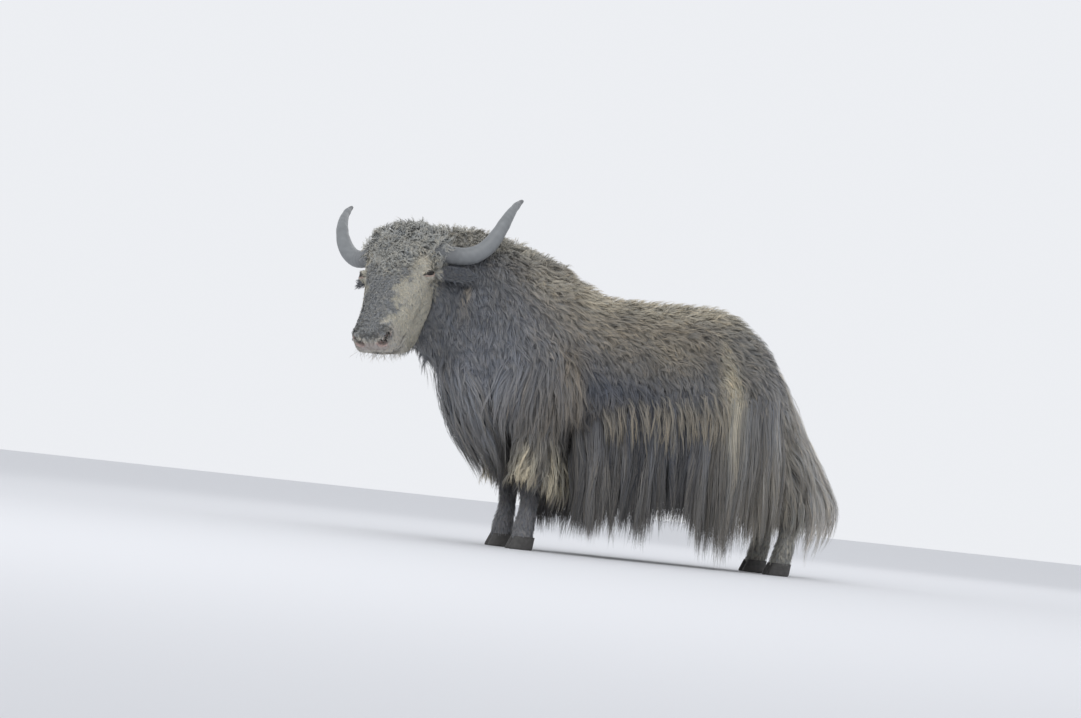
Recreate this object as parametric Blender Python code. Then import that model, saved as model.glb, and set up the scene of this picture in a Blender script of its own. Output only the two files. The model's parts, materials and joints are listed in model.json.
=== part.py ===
"""A standing yak bull, life size, with its head turned to its left: the coat's outer form as solids.

Metres, +Z up, head toward -Y, the animal's left at +X. Heights are measured from the floor. Lengthwise
places are measured from the point halfway between the fore and hind feet, and the finished model is then
moved so that its origin lies on the floor under the centre of its bounding box.
"""

import math
from typing import NamedTuple

import bmesh
import bpy
import numpy as np
from mathutils import Matrix, Vector

# Driving dimensions
HUMP_HEIGHT = 1.335
FORE_FOOT_Y = -0.612
HIND_FOOT_Y = 0.578
FORE_FOOT_X = 0.140
HIND_FOOT_X = 0.130
GAP = 0.0003

# The head's pose: the poll's place, and how the head is turned, raised and rolled
POLL = Vector((0.120, -1.285, 1.300))
HEAD_TURN = math.radians(45.5)
FACE_SLOPE = math.radians(33.5)
HEAD_ROLL = math.radians(6.5)

# Mesh sizes
RING_POINTS = 28
BODY_VOXEL = 0.016
HEAD_VOXEL = 0.0075
BODY_TRIANGLES = 2850
HEAD_TRIANGLES = 920
LEG_CUT_HEIGHT = 0.056

COAT_DARK = (0.065, 0.068, 0.078, 1.0)
COAT_MID = (0.110, 0.112, 0.115, 1.0)
COAT_PALE = (0.250, 0.235, 0.205, 1.0)
HORN_GREY = (0.270, 0.280, 0.290, 1.0)
HOOF_GREY = (0.080, 0.080, 0.085, 1.0)
EYE_BLACK = (0.010, 0.008, 0.008, 1.0)


class Section(NamedTuple):
    """An upright section of the body: its place, its top, widest and lowest heights, and its half width."""

    y: float
    top: float
    widest: float
    bottom: float
    half_width: float
    shift: float = 0.0


class Stop(NamedTuple):
    """A stop on the line of a leg, tail, horn or ear, with the half sizes of its oval section there."""

    x: float
    y: float
    z: float
    half_width: float
    half_depth: float


class Slab(NamedTuple):
    """A box that takes one node out of the whole body, from its lowest to its highest corner."""

    low: tuple
    high: tuple
    lean: float = 0.0


BODY = (
    Section(-1.215, 1.290, 1.080, 0.815, 0.105, 0.100),
    Section(-1.130, 1.322, 1.070, 0.735, 0.160, 0.085),
    Section(-1.000, 1.331, 1.030, 0.655, 0.195, 0.055),
    Section(-0.880, HUMP_HEIGHT, 0.980, 0.580, 0.235, 0.025),
    Section(-0.740, 1.302, 0.860, 0.500, 0.285, 0.005),
    Section(-0.560, 1.243, 0.760, 0.460, 0.312),
    Section(-0.340, 1.133, 0.700, 0.435, 0.328),
    Section(-0.100, 1.130, 0.680, 0.415, 0.340),
    Section(0.110, 1.135, 0.690, 0.420, 0.336),
    Section(0.240, 1.128, 0.720, 0.450, 0.316),
    Section(0.360, 1.062, 0.740, 0.480, 0.285),
    Section(0.470, 0.957, 0.740, 0.520, 0.232),
    Section(0.545, 0.850, 0.720, 0.600, 0.120),
)

BIB = (
    Stop(0.062, -0.965, 0.800, 0.125, 0.115),
    Stop(0.034, -0.885, 0.660, 0.160, 0.132),
    Stop(0.010, -0.838, 0.540, 0.172, 0.132),
    Stop(0.000, -0.790, 0.430, 0.158, 0.118),
    Stop(0.000, -0.746, 0.330, 0.128, 0.088),
    Stop(0.000, -0.716, 0.240, 0.080, 0.046),
)

FORELEG = (
    Stop(0.160, -0.590, 0.740, 0.080, 0.150),
    Stop(0.158, -0.592, 0.580, 0.078, 0.125),
    Stop(0.154, -0.598, 0.430, 0.080, 0.112),
    Stop(0.150, -0.602, 0.310, 0.078, 0.104),
    Stop(0.144, -0.606, 0.220, 0.066, 0.084),
    Stop(FORE_FOOT_X + 0.001, FORE_FOOT_Y, 0.155, 0.050, 0.056),
    Stop(FORE_FOOT_X, FORE_FOOT_Y - 0.010, 0.075, 0.046, 0.053),
    Stop(FORE_FOOT_X, FORE_FOOT_Y - 0.014, 0.040, 0.046, 0.055),
)

HINDLEG = (
    Stop(0.145, 0.320, 0.860, 0.085, 0.150),
    Stop(0.155, 0.375, 0.700, 0.092, 0.185),
    Stop(0.156, 0.455, 0.560, 0.088, 0.150),
    Stop(0.152, 0.540, 0.430, 0.084, 0.118),
    Stop(0.145, 0.578, 0.310, 0.076, 0.098),
    Stop(0.137, 0.590, 0.215, 0.062, 0.074),
    Stop(HIND_FOOT_X + 0.001, HIND_FOOT_Y + 0.010, 0.150, 0.050, 0.056),
    Stop(HIND_FOOT_X, HIND_FOOT_Y, 0.075, 0.047, 0.053),
    Stop(HIND_FOOT_X, HIND_FOOT_Y - 0.004, 0.040, 0.047, 0.055),
)

TAIL = (
    Stop(0.000, 0.430, 0.965, 0.035, 0.035),
    Stop(0.000, 0.500, 0.890, 0.048, 0.044),
    Stop(0.000, 0.562, 0.760, 0.060, 0.056),
    Stop(0.000, 0.622, 0.610, 0.082, 0.080),
    Stop(0.004, 0.690, 0.450, 0.102, 0.112),
    Stop(0.008, 0.742, 0.320, 0.106, 0.130),
    Stop(0.010, 0.752, 0.200, 0.090, 0.110),
    Stop(0.010, 0.735, 0.100, 0.040, 0.055),
)

# The skirt hangs from the flank: its ends, its outer face and thickness, and how its ends are rounded
SKIRT_FRONT = -0.600
SKIRT_BACK = 0.400
SKIRT_STATIONS = 26
SKIRT_OUTSIDE = 0.348
SKIRT_INSIDE = 0.252
SKIRT_HEM_THICKNESS = 0.042
SKIRT_TOP = 0.640
SKIRT_SHOULDER = 0.560
SKIRT_WAIST = 0.420
SKIRT_END_REACH = 0.100
SKIRT_END_LEFT = 0.015
SKIRT_END_RISE = 0.100
SKIRT_END_SINK = 0.030
SKIRT_FRONT_SLANT = (-0.100, 0.050)
SKIRT_BACK_SLANT = (0.150, 0.120)

# The skirt's lower edge on each side: places along the body and heights there
HEM_FRONT = (
    (-0.600, 0.165),
    (-0.520, 0.122),
    (-0.430, 0.100),
    (-0.350, 0.088),
    (-0.250, 0.100),
    (-0.165, 0.165),
)
HEMS = {
    1: (
        *HEM_FRONT,
        (-0.090, 0.182),
        (-0.010, 0.190),
        (0.050, 0.128),
        (0.100, 0.070),
        (0.200, 0.050),
        (0.300, 0.110),
        (0.400, 0.150),
    ),
    -1: (*HEM_FRONT, (-0.060, 0.200), (0.080, 0.205), (0.220, 0.205), (0.320, 0.165), (0.400, 0.155)),
}

# The head in its own frame: x to the animal's left, y up the face to the poll, z out of the forehead
HEAD = (
    Section(0.052, -0.035, -0.090, -0.150, 0.100),
    Section(0.005, -0.020, -0.110, -0.200, 0.150),
    Section(-0.050, -0.008, -0.115, -0.228, 0.166),
    Section(-0.110, -0.002, -0.120, -0.255, 0.160),
    Section(-0.180, 0.000, -0.122, -0.280, 0.143),
    Section(-0.240, 0.001, -0.120, -0.300, 0.136),
    Section(-0.300, 0.004, -0.120, -0.311, 0.128),
    Section(-0.370, 0.005, -0.124, -0.314, 0.116),
    Section(-0.430, 0.003, -0.126, -0.304, 0.108),
    Section(-0.490, -0.003, -0.114, -0.262, 0.101),
    Section(-0.540, -0.015, -0.102, -0.206, 0.097),
    Section(-0.580, -0.034, -0.102, -0.182, 0.087),
    Section(-0.604, -0.066, -0.104, -0.148, 0.052),
)
POLL_CURLS = ((0.0, -0.030, -0.080), (0.170, 0.080, 0.082))
BROW = ((0.127, -0.200, -0.080), (0.037, 0.042, 0.044))
NOSTRIL_WING = ((0.050, -0.558, -0.052), (0.030, 0.030, 0.032))
LOWER_LIP = ((0.0, -0.545, -0.155), (0.062, 0.046, 0.042))
CHEEK = ((0.080, -0.300, -0.190), (0.050, 0.100, 0.085))

EYE_PLACE = (0.1470, -0.216, -0.084)
EYE_RADIUS = 0.0215

HORN_BENDS = ((0.150, -0.074, -0.104), (0.349, -0.051, -0.279), (0.387, 0.088, -0.070), (0.398, 0.298, -0.217))
HORN_STOPS = 13
HORN_BASE_RADIUS = 0.0375
HORN_TIP_RADIUS = 0.0050
HORN_TAPER = (2.1, 0.72)

# The left ear turns forward a little, and the right one lies back
EAR_BENDS = {
    1: ((0.118, -0.158, -0.130), (0.180, -0.146, -0.170), (0.232, -0.132, -0.198), (0.276, -0.120, -0.220)),
    -1: ((0.118, -0.158, -0.130), (0.165, -0.152, -0.172), (0.204, -0.148, -0.205), (0.232, -0.146, -0.232)),
}
EAR_STOPS = 8
EAR_HALF_WIDTH = 0.043
EAR_HALF_THICKNESS = 0.013
EAR_ROOT_SHARE = 0.60
EAR_TIP_SHARE = 0.35

CLAW_LENGTH = 0.104
CLAW_WIDTH = 0.051
CLAW_HEIGHT = 0.055
CLAW_SPREAD = 0.0215
CLAW_TOE_REACH = 0.016
CLAW_BACK = 0.006
CLAW_POINTS = 12
CLAW_INNER_SHARE = 0.72
CLAW_HEEL_SHARE = 0.10
CLAW_LEVELS = ((0.0, 0.95), (0.007, 1.0), (CLAW_HEIGHT, 0.86))

BELOW_FETLOCKS = Slab((-0.5, -1.0, -0.1), (0.5, 1.0, LEG_CUT_HEIGHT))
CUTS = {
    "skirt": Slab((0.246, SKIRT_FRONT - 0.12, 0.0), (0.60, SKIRT_BACK + 0.015, 0.500)),
    "foreleg": Slab((0.012, -0.700, 0.0), (0.246 - GAP, -0.380, 0.560)),
    "hindleg": Slab((0.012, 0.260, 0.0), (0.60, 0.800, 0.560)),
    "bib": Slab((-0.30, -1.300, 0.0), (0.30, -0.700 - GAP, 0.600), math.radians(-20)),
    "neck": Slab((-0.50, -1.700, -0.30), (0.60, -0.900, 1.700), math.radians(-10)),
    "forequarters": Slab((-0.60, -1.700, -0.10), (0.60, -0.440, 1.700)),
    "hindquarters": Slab((-0.60, 0.200, -0.10), (0.60, 1.400, 1.700)),
}


def clear_scene():
    """Removes every object that the file starts with."""
    for obj in list(bpy.data.objects):
        bpy.data.objects.remove(obj, do_unlink=True)


def paint(name, colour, roughness):
    """A material of one colour and roughness."""
    material = bpy.data.materials.new(name)
    material.use_nodes = True
    shader = material.node_tree.nodes["Principled BSDF"]
    shader.inputs["Base Color"].default_value = colour
    shader.inputs["Roughness"].default_value = roughness
    shader.inputs["Metallic"].default_value = 0.0
    return material


def add_object(name, mesh):
    """A scene object that shows the mesh."""
    obj = bpy.data.objects.new(name, mesh)
    bpy.context.scene.collection.objects.link(obj)
    return obj


def smooth_rows(rows, steps):
    """Adds steps rows between each pair of rows, along a smooth curve through all of them."""
    rows = np.array(rows, dtype=float)
    padded = np.vstack([2 * rows[0] - rows[1], rows, 2 * rows[-1] - rows[-2]])
    out = []
    for index in range(1, len(padded) - 2):
        before, start, end, after = padded[index - 1 : index + 3]
        for t in np.arange(steps) / steps:
            out.append(
                0.5
                * (
                    2 * start
                    + (end - before) * t
                    + (2 * before - 5 * start + 4 * end - after) * t**2
                    + (3 * start - before - 3 * end + after) * t**3
                )
            )
    out.append(rows[-1])
    return np.array(out)


def bezier(bends, count):
    """Points along a cubic curve with the four bends given."""
    t = np.linspace(0.0, 1.0, count)[:, None]
    a, b, c, d = np.array(bends, dtype=float)
    return (1 - t) ** 3 * a + 3 * (1 - t) ** 2 * t * b + 3 * (1 - t) * t**2 * c + t**3 * d


def skin_rings(mesh_builder, rings):
    """Bridges the rings in turn, and closes both ends with a fan of triangles."""
    loops = [[mesh_builder.verts.new(point) for point in ring] for ring in rings]
    count = len(loops[0])
    for lower, upper in zip(loops, loops[1:]):
        for i in range(count):
            j = (i + 1) % count
            mesh_builder.faces.new((lower[i], lower[j], upper[j], upper[i]))
    for loop in (loops[0], loops[-1]):
        centre = mesh_builder.verts.new(sum((v.co for v in loop), Vector()) / count)
        for i in range(count):
            mesh_builder.faces.new((loop[i], loop[(i + 1) % count], centre))


def mesh_from_rings(name, rings, place=Matrix()):
    """A closed mesh through the rings, with its faces pointing out."""
    builder = bmesh.new()
    skin_rings(builder, rings)
    builder.transform(place)
    builder.normal_update()
    bmesh.ops.recalc_face_normals(builder, faces=builder.faces)
    mesh = bpy.data.meshes.new(name)
    builder.to_mesh(mesh)
    builder.free()
    return mesh


def section_ring(row, across, along, up):
    """The oval of one section, fuller below its widest height than above it."""
    y, top, widest, bottom, half_width, shift = row
    angle = 2 * math.pi * np.arange(RING_POINTS) / RING_POINTS
    side, rise = np.sin(angle), np.cos(angle)
    power = np.where(rise > 0, 1.0, 0.86)
    half_height = np.where(rise > 0, top - widest, widest - bottom)
    width = half_width * np.sign(side) * np.abs(side) ** power
    height = widest + half_height * rise
    points = np.outer(width + shift, across) + np.outer(np.full(RING_POINTS, y), along) + np.outer(height, up)
    return [tuple(point) for point in points]


def swept_rings(stops, points=18):
    """Ovals along a line of stops, each square to the line."""
    rows = np.array(stops, dtype=float)
    line = rows[:, :3]
    run = np.gradient(line, axis=0)
    run /= np.linalg.norm(run, axis=1)[:, None]
    rings = []
    for place, ahead, (half_width, half_depth) in zip(line, run, rows[:, 3:]):
        side = np.array((1.0, 0.0, 0.0)) - ahead[0] * ahead
        side /= np.linalg.norm(side)
        depth = np.cross(ahead, side)
        angle = 2 * math.pi * np.arange(points) / points
        ring = place + np.outer(np.cos(angle) * half_width, side) + np.outer(np.sin(angle) * half_depth, depth)
        rings.append([tuple(point) for point in ring])
    return rings


def ellipsoid(name, centre, radii, place=Matrix(), segments=20):
    """A closed ball with the three radii given."""
    builder = bmesh.new()
    bmesh.ops.create_uvsphere(builder, u_segments=segments, v_segments=segments // 2, radius=1.0)
    builder.transform(place @ Matrix.Translation(centre) @ Matrix.Diagonal((*radii, 1.0)))
    mesh = bpy.data.meshes.new(name)
    builder.to_mesh(mesh)
    builder.free()
    return mesh


def mirrored(values):
    """The same place or stops on the animal's other side."""
    return (-values[0], *values[1:])


def head_matrix():
    """Turns the head's own frame into the body's: roll, then the slope of the face, then the turn."""
    heading = Matrix.Rotation(HEAD_TURN, 4, "Z")
    upright = Matrix(((1, 0, 0, 0), (0, 0, -1, 0), (0, 1, 0, 0), (0, 0, 0, 1)))
    slope = Matrix.Rotation(-FACE_SLOPE, 4, "X")
    roll = Matrix.Rotation(HEAD_ROLL, 4, "Z")
    return Matrix.Translation(POLL) @ heading @ slope @ upright @ roll


def slant(y, start, rate):
    """How far the skirt's face has drawn in at y, past the start of a slant."""
    past = start - y if start < 0 else y - start
    return rate * max(0.0, past)


def skirt_profile(y, hems):
    """The skirt's upright section at y, down its outer face and up its inner one."""
    places, heights = zip(*hems)
    to_end = min(y - SKIRT_FRONT, SKIRT_BACK - y)
    end = min(1.0, (to_end + SKIRT_END_LEFT) / SKIRT_END_REACH) ** 0.5
    hem = float(np.interp(y, places, heights)) + SKIRT_END_RISE * (1.0 - end)
    outside = SKIRT_OUTSIDE - slant(y, *SKIRT_FRONT_SLANT) - slant(y, *SKIRT_BACK_SLANT)
    outside -= SKIRT_END_SINK * (1.0 - end)
    thick, thin = (outside - SKIRT_INSIDE) * end, SKIRT_HEM_THICKNESS * end
    middle = 0.5 * (SKIRT_WAIST + hem)
    return (
        (outside - 0.045, SKIRT_TOP),
        (outside - 0.010, SKIRT_SHOULDER),
        (outside, SKIRT_WAIST),
        (outside - 0.004, middle),
        (outside - 0.012, hem + 0.012),
        (outside - 0.5 * thin - 0.006, hem),
        (outside - thin, hem + 0.014),
        (outside - 0.5 * (thin + thick), middle),
        (outside - thick, SKIRT_WAIST),
        (outside - thick, SKIRT_SHOULDER),
        (outside - thick, SKIRT_TOP),
    )


def skirt_mesh(name, side):
    """The curtain of long hair on one flank, thick where it leaves the body and thin at its hem."""
    stations = np.linspace(SKIRT_FRONT, SKIRT_BACK, SKIRT_STATIONS)
    rings = [[(side * x, y, z) for x, z in skirt_profile(y, HEMS[side])] for y in stations]
    return mesh_from_rings(name, rings)


def join_and_smooth(name, meshes, voxel, triangles, passes):
    """Melts overlapping closed meshes into one closed skin of even triangles."""
    builder = bmesh.new()
    for mesh in meshes:
        builder.from_mesh(mesh)
    joined = bpy.data.meshes.new(name)
    builder.to_mesh(joined)
    builder.free()
    obj = add_object(name, joined)
    remesh = obj.modifiers.new("Melt", "REMESH")
    remesh.mode = "VOXEL"
    remesh.voxel_size = voxel
    smooth = obj.modifiers.new("Smooth", "SMOOTH")
    smooth.factor = 0.5
    smooth.iterations = passes
    apply_modifiers(obj)
    thin = obj.modifiers.new("Thin", "DECIMATE")
    thin.ratio = triangles / (2 * len(obj.data.polygons))
    thin.use_collapse_triangulate = True
    return apply_modifiers(obj)


def apply_modifiers(obj):
    """Replaces the object's mesh with the one its modifiers make."""
    graph = bpy.context.evaluated_depsgraph_get()
    graph.update()
    mesh = bpy.data.meshes.new_from_object(obj.evaluated_get(graph))
    obj.modifiers.clear()
    obj.data = mesh
    return obj


def cut(obj, tool, operation):
    """Takes the tool out of the object, or keeps only what lies inside it.

    The exact solver drops the melted body at some of these cuts, so all of them use the manifold one.
    """
    boolean = obj.modifiers.new("Cut", "BOOLEAN")
    boolean.operation = operation
    boolean.object = tool
    boolean.solver = "MANIFOLD"
    return apply_modifiers(obj)


def grown(obj, margin):
    """A copy of the object's mesh, moved out by the margin everywhere."""
    mesh = obj.data.copy()
    builder = bmesh.new()
    builder.from_mesh(mesh)
    builder.normal_update()
    moved = [(vert, vert.co + vert.normal * margin) for vert in builder.verts]
    for vert, place in moved:
        vert.co = place
    builder.to_mesh(mesh)
    builder.free()
    return add_object(obj.name + "_socket", mesh)


def seat(body, piece):
    """Cuts a socket for the piece in the body, with the gap between them."""
    tool = grown(piece, GAP * 1.6)
    cut(body, tool, "DIFFERENCE")
    bpy.data.objects.remove(tool)


def slab_object(name, slab, margin, side):
    """The box of a cut, grown by the margin, on the side given, and leaning about its lower back edge."""
    low, high = Vector(slab.low), Vector(slab.high)
    if side < 0:
        low.x, high.x = -high.x, -low.x
    low -= Vector((margin, margin, margin))
    high += Vector((margin, margin, margin))
    builder = bmesh.new()
    bmesh.ops.create_cube(builder, size=1.0)
    builder.transform(Matrix.Translation((low + high) / 2) @ Matrix.Diagonal((*(high - low), 1.0)))
    pivot = Vector((0.0, slab.high[1], 0.0))
    lean = Matrix.Translation(pivot) @ Matrix.Rotation(slab.lean, 4, "X") @ Matrix.Translation(-pivot)
    builder.transform(lean)
    mesh = bpy.data.meshes.new(name)
    builder.to_mesh(mesh)
    builder.free()
    return add_object(name, mesh)


def carve(body, name, slab, side=1):
    """Parts one node from the body, leaving the gap between the two."""
    piece = add_object(name, body.data.copy())
    inner = slab_object(name + "_inner", slab, 0.0, side)
    outer = slab_object(name + "_outer", slab, GAP, side)
    cut(piece, inner, "INTERSECT")
    cut(body, outer, "DIFFERENCE")
    bpy.data.objects.remove(inner)
    bpy.data.objects.remove(outer)
    return piece


def make_head():
    """The head with its cheeks, brows, lips and the curls on its poll."""
    place = head_matrix()
    across, along, up = np.eye(3)
    rows = smooth_rows(HEAD, 3)
    rings = [section_ring(row, across, along, up) for row in rows]
    meshes = [mesh_from_rings("head_loft", rings, place)]
    meshes.append(ellipsoid("poll_curls", *POLL_CURLS, place))
    meshes.append(ellipsoid("lower_lip", *LOWER_LIP, place))
    for centre, radii in (BROW, NOSTRIL_WING, CHEEK):
        meshes.append(ellipsoid("left_form", centre, radii, place))
        meshes.append(ellipsoid("right_form", mirrored(centre), radii, place))
    return join_and_smooth("head", meshes, HEAD_VOXEL, HEAD_TRIANGLES, 3)


def make_body():
    """Neck, trunk, legs, bib and skirts, melted into one."""
    across, along, up = np.eye(3)
    rings = [section_ring(row, across, along, up) for row in smooth_rows(BODY, 4)]
    meshes = [mesh_from_rings("trunk_loft", rings)]
    meshes.append(mesh_from_rings("bib_loft", swept_rings(smooth_rows(BIB, 3))))
    for side in (1, -1):
        for name, stops in (("foreleg_loft", FORELEG), ("hindleg_loft", HINDLEG)):
            rows = smooth_rows(stops, 4) * np.array((side, 1, 1, 1, 1))
            meshes.append(mesh_from_rings(name, swept_rings(rows)))
        meshes.append(skirt_mesh("skirt_loft", side))
    body = join_and_smooth("trunk", meshes, BODY_VOXEL, BODY_TRIANGLES, 5)
    tool = slab_object("sole_cut", BELOW_FETLOCKS, 0.0, 1)
    cut(body, tool, "DIFFERENCE")
    bpy.data.objects.remove(tool)
    return body


def make_tail():
    """The tail, a thin dock that widens into a long brush."""
    return add_object("tail", mesh_from_rings("tail", swept_rings(smooth_rows(TAIL, 2), 12)))


def make_horn(name, side):
    """A round horn that runs out, forward and then up, tapering to its tip."""
    line = bezier(HORN_BENDS, HORN_STOPS) * np.array((side, 1, 1))
    t = np.linspace(0.0, 1.0, HORN_STOPS)
    radius = HORN_TIP_RADIUS + (HORN_BASE_RADIUS - HORN_TIP_RADIUS) * (1.0 - t ** HORN_TAPER[0]) ** HORN_TAPER[1]
    stops = np.column_stack([line, radius, radius])
    rings = round_rings(stops, 10)
    return add_object(name, mesh_from_rings(name, rings, head_matrix()))


def make_ear(name, side):
    """A leaf-shaped ear that stands out sideways and droops at its tip."""
    line = bezier(EAR_BENDS[side], EAR_STOPS) * np.array((side, 1, 1))
    t = np.linspace(0.0, 1.0, EAR_STOPS)
    leaf = np.interp(t, (0.0, 0.4, 0.75, 1.0), (EAR_ROOT_SHARE, 1.0, 1.0, EAR_TIP_SHARE))
    stops = np.column_stack([line, EAR_HALF_WIDTH * leaf, EAR_HALF_THICKNESS * leaf])
    rings = round_rings(stops, 10)
    return add_object(name, mesh_from_rings(name, rings, head_matrix()))


def round_rings(stops, points):
    """Ovals along a line, kept from twisting by the head's own upward direction."""
    line = stops[:, :3]
    run = np.gradient(line, axis=0)
    run /= np.linalg.norm(run, axis=1)[:, None]
    rings = []
    lift = np.array((0.0, 1.0, 0.0))
    for place, ahead, (half_width, half_depth) in zip(line, run, stops[:, 3:]):
        lift = lift - (lift @ ahead) * ahead
        lift /= np.linalg.norm(lift)
        face = np.cross(ahead, lift)
        angle = 2 * math.pi * np.arange(points) / points
        ring = place + np.outer(np.cos(angle) * half_width, lift) + np.outer(np.sin(angle) * half_depth, face)
        rings.append([tuple(point) for point in ring])
    return rings


def make_eye(name, side):
    """An eyeball, sunk in the head to about its middle."""
    centre = (side * EYE_PLACE[0], *EYE_PLACE[1:])
    return add_object(name, ellipsoid(name, centre, (EYE_RADIUS,) * 3, head_matrix(), 12))


def claw_ring(height, shrink, toe_slope):
    """The D-shaped outline of a claw at one height: flat on its inner side, round at the toe and heel."""
    points = []
    for step in range(CLAW_POINTS):
        angle = 2 * math.pi * (step + 0.5) / CLAW_POINTS
        out, ahead = math.cos(angle), math.sin(angle)
        x = CLAW_WIDTH / 2 * shrink * (out if out > 0 else CLAW_INNER_SHARE * out)
        y = CLAW_LENGTH / 2 * shrink * ahead * (1.0 if ahead > 0 else 1.0 + CLAW_HEEL_SHARE * abs(out))
        points.append((x, -y - toe_slope, height))
    return points


def make_claw(name, foot_x, foot_y, side, outward):
    """One half of a cloven hoof, standing on its flat sole."""
    rings = []
    for height, shrink in CLAW_LEVELS:
        rings.append(claw_ring(height, shrink, CLAW_TOE_REACH * (1 - height / CLAW_HEIGHT)))
    place = Matrix.Translation((side * foot_x + side * outward * CLAW_SPREAD, foot_y - CLAW_BACK, 0.0))
    flip = Matrix.Diagonal((side * outward, 1.0, 1.0, 1.0))
    return add_object(name, mesh_from_rings(name, rings, place @ flip))


def make_claws():
    """Two claws under each foot."""
    feet = (("fore", FORE_FOOT_X, FORE_FOOT_Y), ("hind", HIND_FOOT_X, HIND_FOOT_Y))
    claws = []
    for end, foot_x, foot_y in feet:
        for side, hand in ((1, "left"), (-1, "right")):
            for outward, place in ((1, "outer"), (-1, "inner")):
                claws.append(make_claw(f"claw_{end}_{hand}_{place}", foot_x, foot_y, side, outward))
    return claws


def part_body(body):
    """Divides the melted body into its named nodes with thin cuts."""
    nodes = []
    for kind in ("skirt", "foreleg", "hindleg"):
        for side, hand in ((1, "left"), (-1, "right")):
            nodes.append(carve(body, f"{kind}_{hand}", CUTS[kind], side))
    for kind in ("bib", "neck", "forequarters", "hindquarters"):
        nodes.append(carve(body, kind, CUTS[kind]))
    return [*nodes, body]


def finish(objects, material):
    """Gives the objects the material, and smooth shading up to sharp edges."""
    for obj in objects:
        obj.data.materials.clear()
        obj.data.materials.append(material)
        obj.data.shade_smooth()
        obj.data.set_sharp_from_angle(angle=math.radians(40))


def centre_on_floor(objects):
    """Moves the whole model so that its bounding box is centred on the origin, and its lowest point is at 0."""
    points = np.array([vert.co[:] for obj in objects for vert in obj.data.vertices])
    low, high = points.min(axis=0), points.max(axis=0)
    shift = Matrix.Translation((-(low[0] + high[0]) / 2, -(low[1] + high[1]) / 2, -low[2]))
    for obj in objects:
        obj.data.transform(shift)


def main():
    """Builds the solids, seats the small ones in the large ones, and parts the body into nodes."""
    clear_scene()
    body, head, tail = make_body(), make_head(), make_tail()
    horns = [make_horn("horn_left", 1), make_horn("horn_right", -1)]
    ears = [make_ear("ear_left", 1), make_ear("ear_right", -1)]
    eyes = [make_eye("eye_left", 1), make_eye("eye_right", -1)]
    for piece in (*horns, *ears, *eyes):
        seat(head, piece)
    for piece in (head, *ears, *horns, tail):
        seat(body, piece)
    nodes = part_body(body)
    claws = make_claws()
    finish([*nodes, tail, *ears], paint("dark_coat", COAT_DARK, 0.85))
    finish([head], paint("face_coat", COAT_PALE, 0.85))
    finish(horns, paint("horn", HORN_GREY, 0.45))
    finish(claws, paint("hoof", HOOF_GREY, 0.55))
    finish(eyes, paint("eye", EYE_BLACK, 0.10))
    centre_on_floor([*nodes, head, tail, *horns, *ears, *eyes, *claws])


main()
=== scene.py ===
"""Looks of a standing yak bull, life size: a skin under a coat of solid locks, with horns, eyes and claws.

The script works in metres with +Z up, the head toward -Y and the animal's left at +X, and measures lengthwise
places from the point halfway between the fore and hind feet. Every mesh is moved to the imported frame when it
is made, by the distance read from a claw of the frame.
"""

from __future__ import annotations

import json
import logging
import math
from dataclasses import dataclass
from enum import Enum
from typing import Callable, Optional, Sequence

import bpy
import numpy as np
from mathutils import Matrix, Vector
from mathutils.bvhtree import BVHTree

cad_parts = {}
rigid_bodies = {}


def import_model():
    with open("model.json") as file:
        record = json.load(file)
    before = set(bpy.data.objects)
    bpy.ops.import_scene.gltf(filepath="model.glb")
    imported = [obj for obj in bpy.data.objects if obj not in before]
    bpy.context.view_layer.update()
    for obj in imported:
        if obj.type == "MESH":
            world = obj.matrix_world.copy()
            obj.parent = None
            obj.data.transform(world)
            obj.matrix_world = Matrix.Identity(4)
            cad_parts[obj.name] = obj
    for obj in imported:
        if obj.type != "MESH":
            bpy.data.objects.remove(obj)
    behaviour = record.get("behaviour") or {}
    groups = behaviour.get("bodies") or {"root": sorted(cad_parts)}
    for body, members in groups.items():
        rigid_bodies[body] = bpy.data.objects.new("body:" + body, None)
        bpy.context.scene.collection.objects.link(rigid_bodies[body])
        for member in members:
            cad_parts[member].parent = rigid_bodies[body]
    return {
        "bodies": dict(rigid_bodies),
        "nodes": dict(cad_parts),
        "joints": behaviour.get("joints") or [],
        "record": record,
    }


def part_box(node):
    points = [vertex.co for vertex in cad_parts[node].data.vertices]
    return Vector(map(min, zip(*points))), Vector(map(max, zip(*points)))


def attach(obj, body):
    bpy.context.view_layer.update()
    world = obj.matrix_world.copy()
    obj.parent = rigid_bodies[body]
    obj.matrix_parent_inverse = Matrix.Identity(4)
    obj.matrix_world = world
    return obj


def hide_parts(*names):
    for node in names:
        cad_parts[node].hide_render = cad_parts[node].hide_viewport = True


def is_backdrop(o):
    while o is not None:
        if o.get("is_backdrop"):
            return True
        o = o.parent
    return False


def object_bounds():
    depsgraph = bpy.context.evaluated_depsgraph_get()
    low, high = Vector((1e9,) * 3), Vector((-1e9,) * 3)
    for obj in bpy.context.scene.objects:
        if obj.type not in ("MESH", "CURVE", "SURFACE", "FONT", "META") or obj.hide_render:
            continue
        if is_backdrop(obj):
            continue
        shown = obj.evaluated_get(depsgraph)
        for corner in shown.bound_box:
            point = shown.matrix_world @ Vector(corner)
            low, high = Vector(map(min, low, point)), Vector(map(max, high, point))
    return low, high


LOG = logging.getLogger("yak")
DOWN = np.array((0.0, 0.0, -1.0))
Array = np.ndarray
Object = bpy.types.Object
Material = bpy.types.Material
Flow = Callable[[Array, Array], Array]
CLAW_CENTRE_Y = -0.626
COAT_ATTRIBUTE = "coat_colour"
BAKE_MAP = "OFBake"
BAKE_PATCH = 0.003
LOWEST_TIP = 0.0015
TIP_WARMTH = (0.08, 0.02, -0.09)
BRIGHT_WARMTH = (1.35, 1.00, 0.45)


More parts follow.
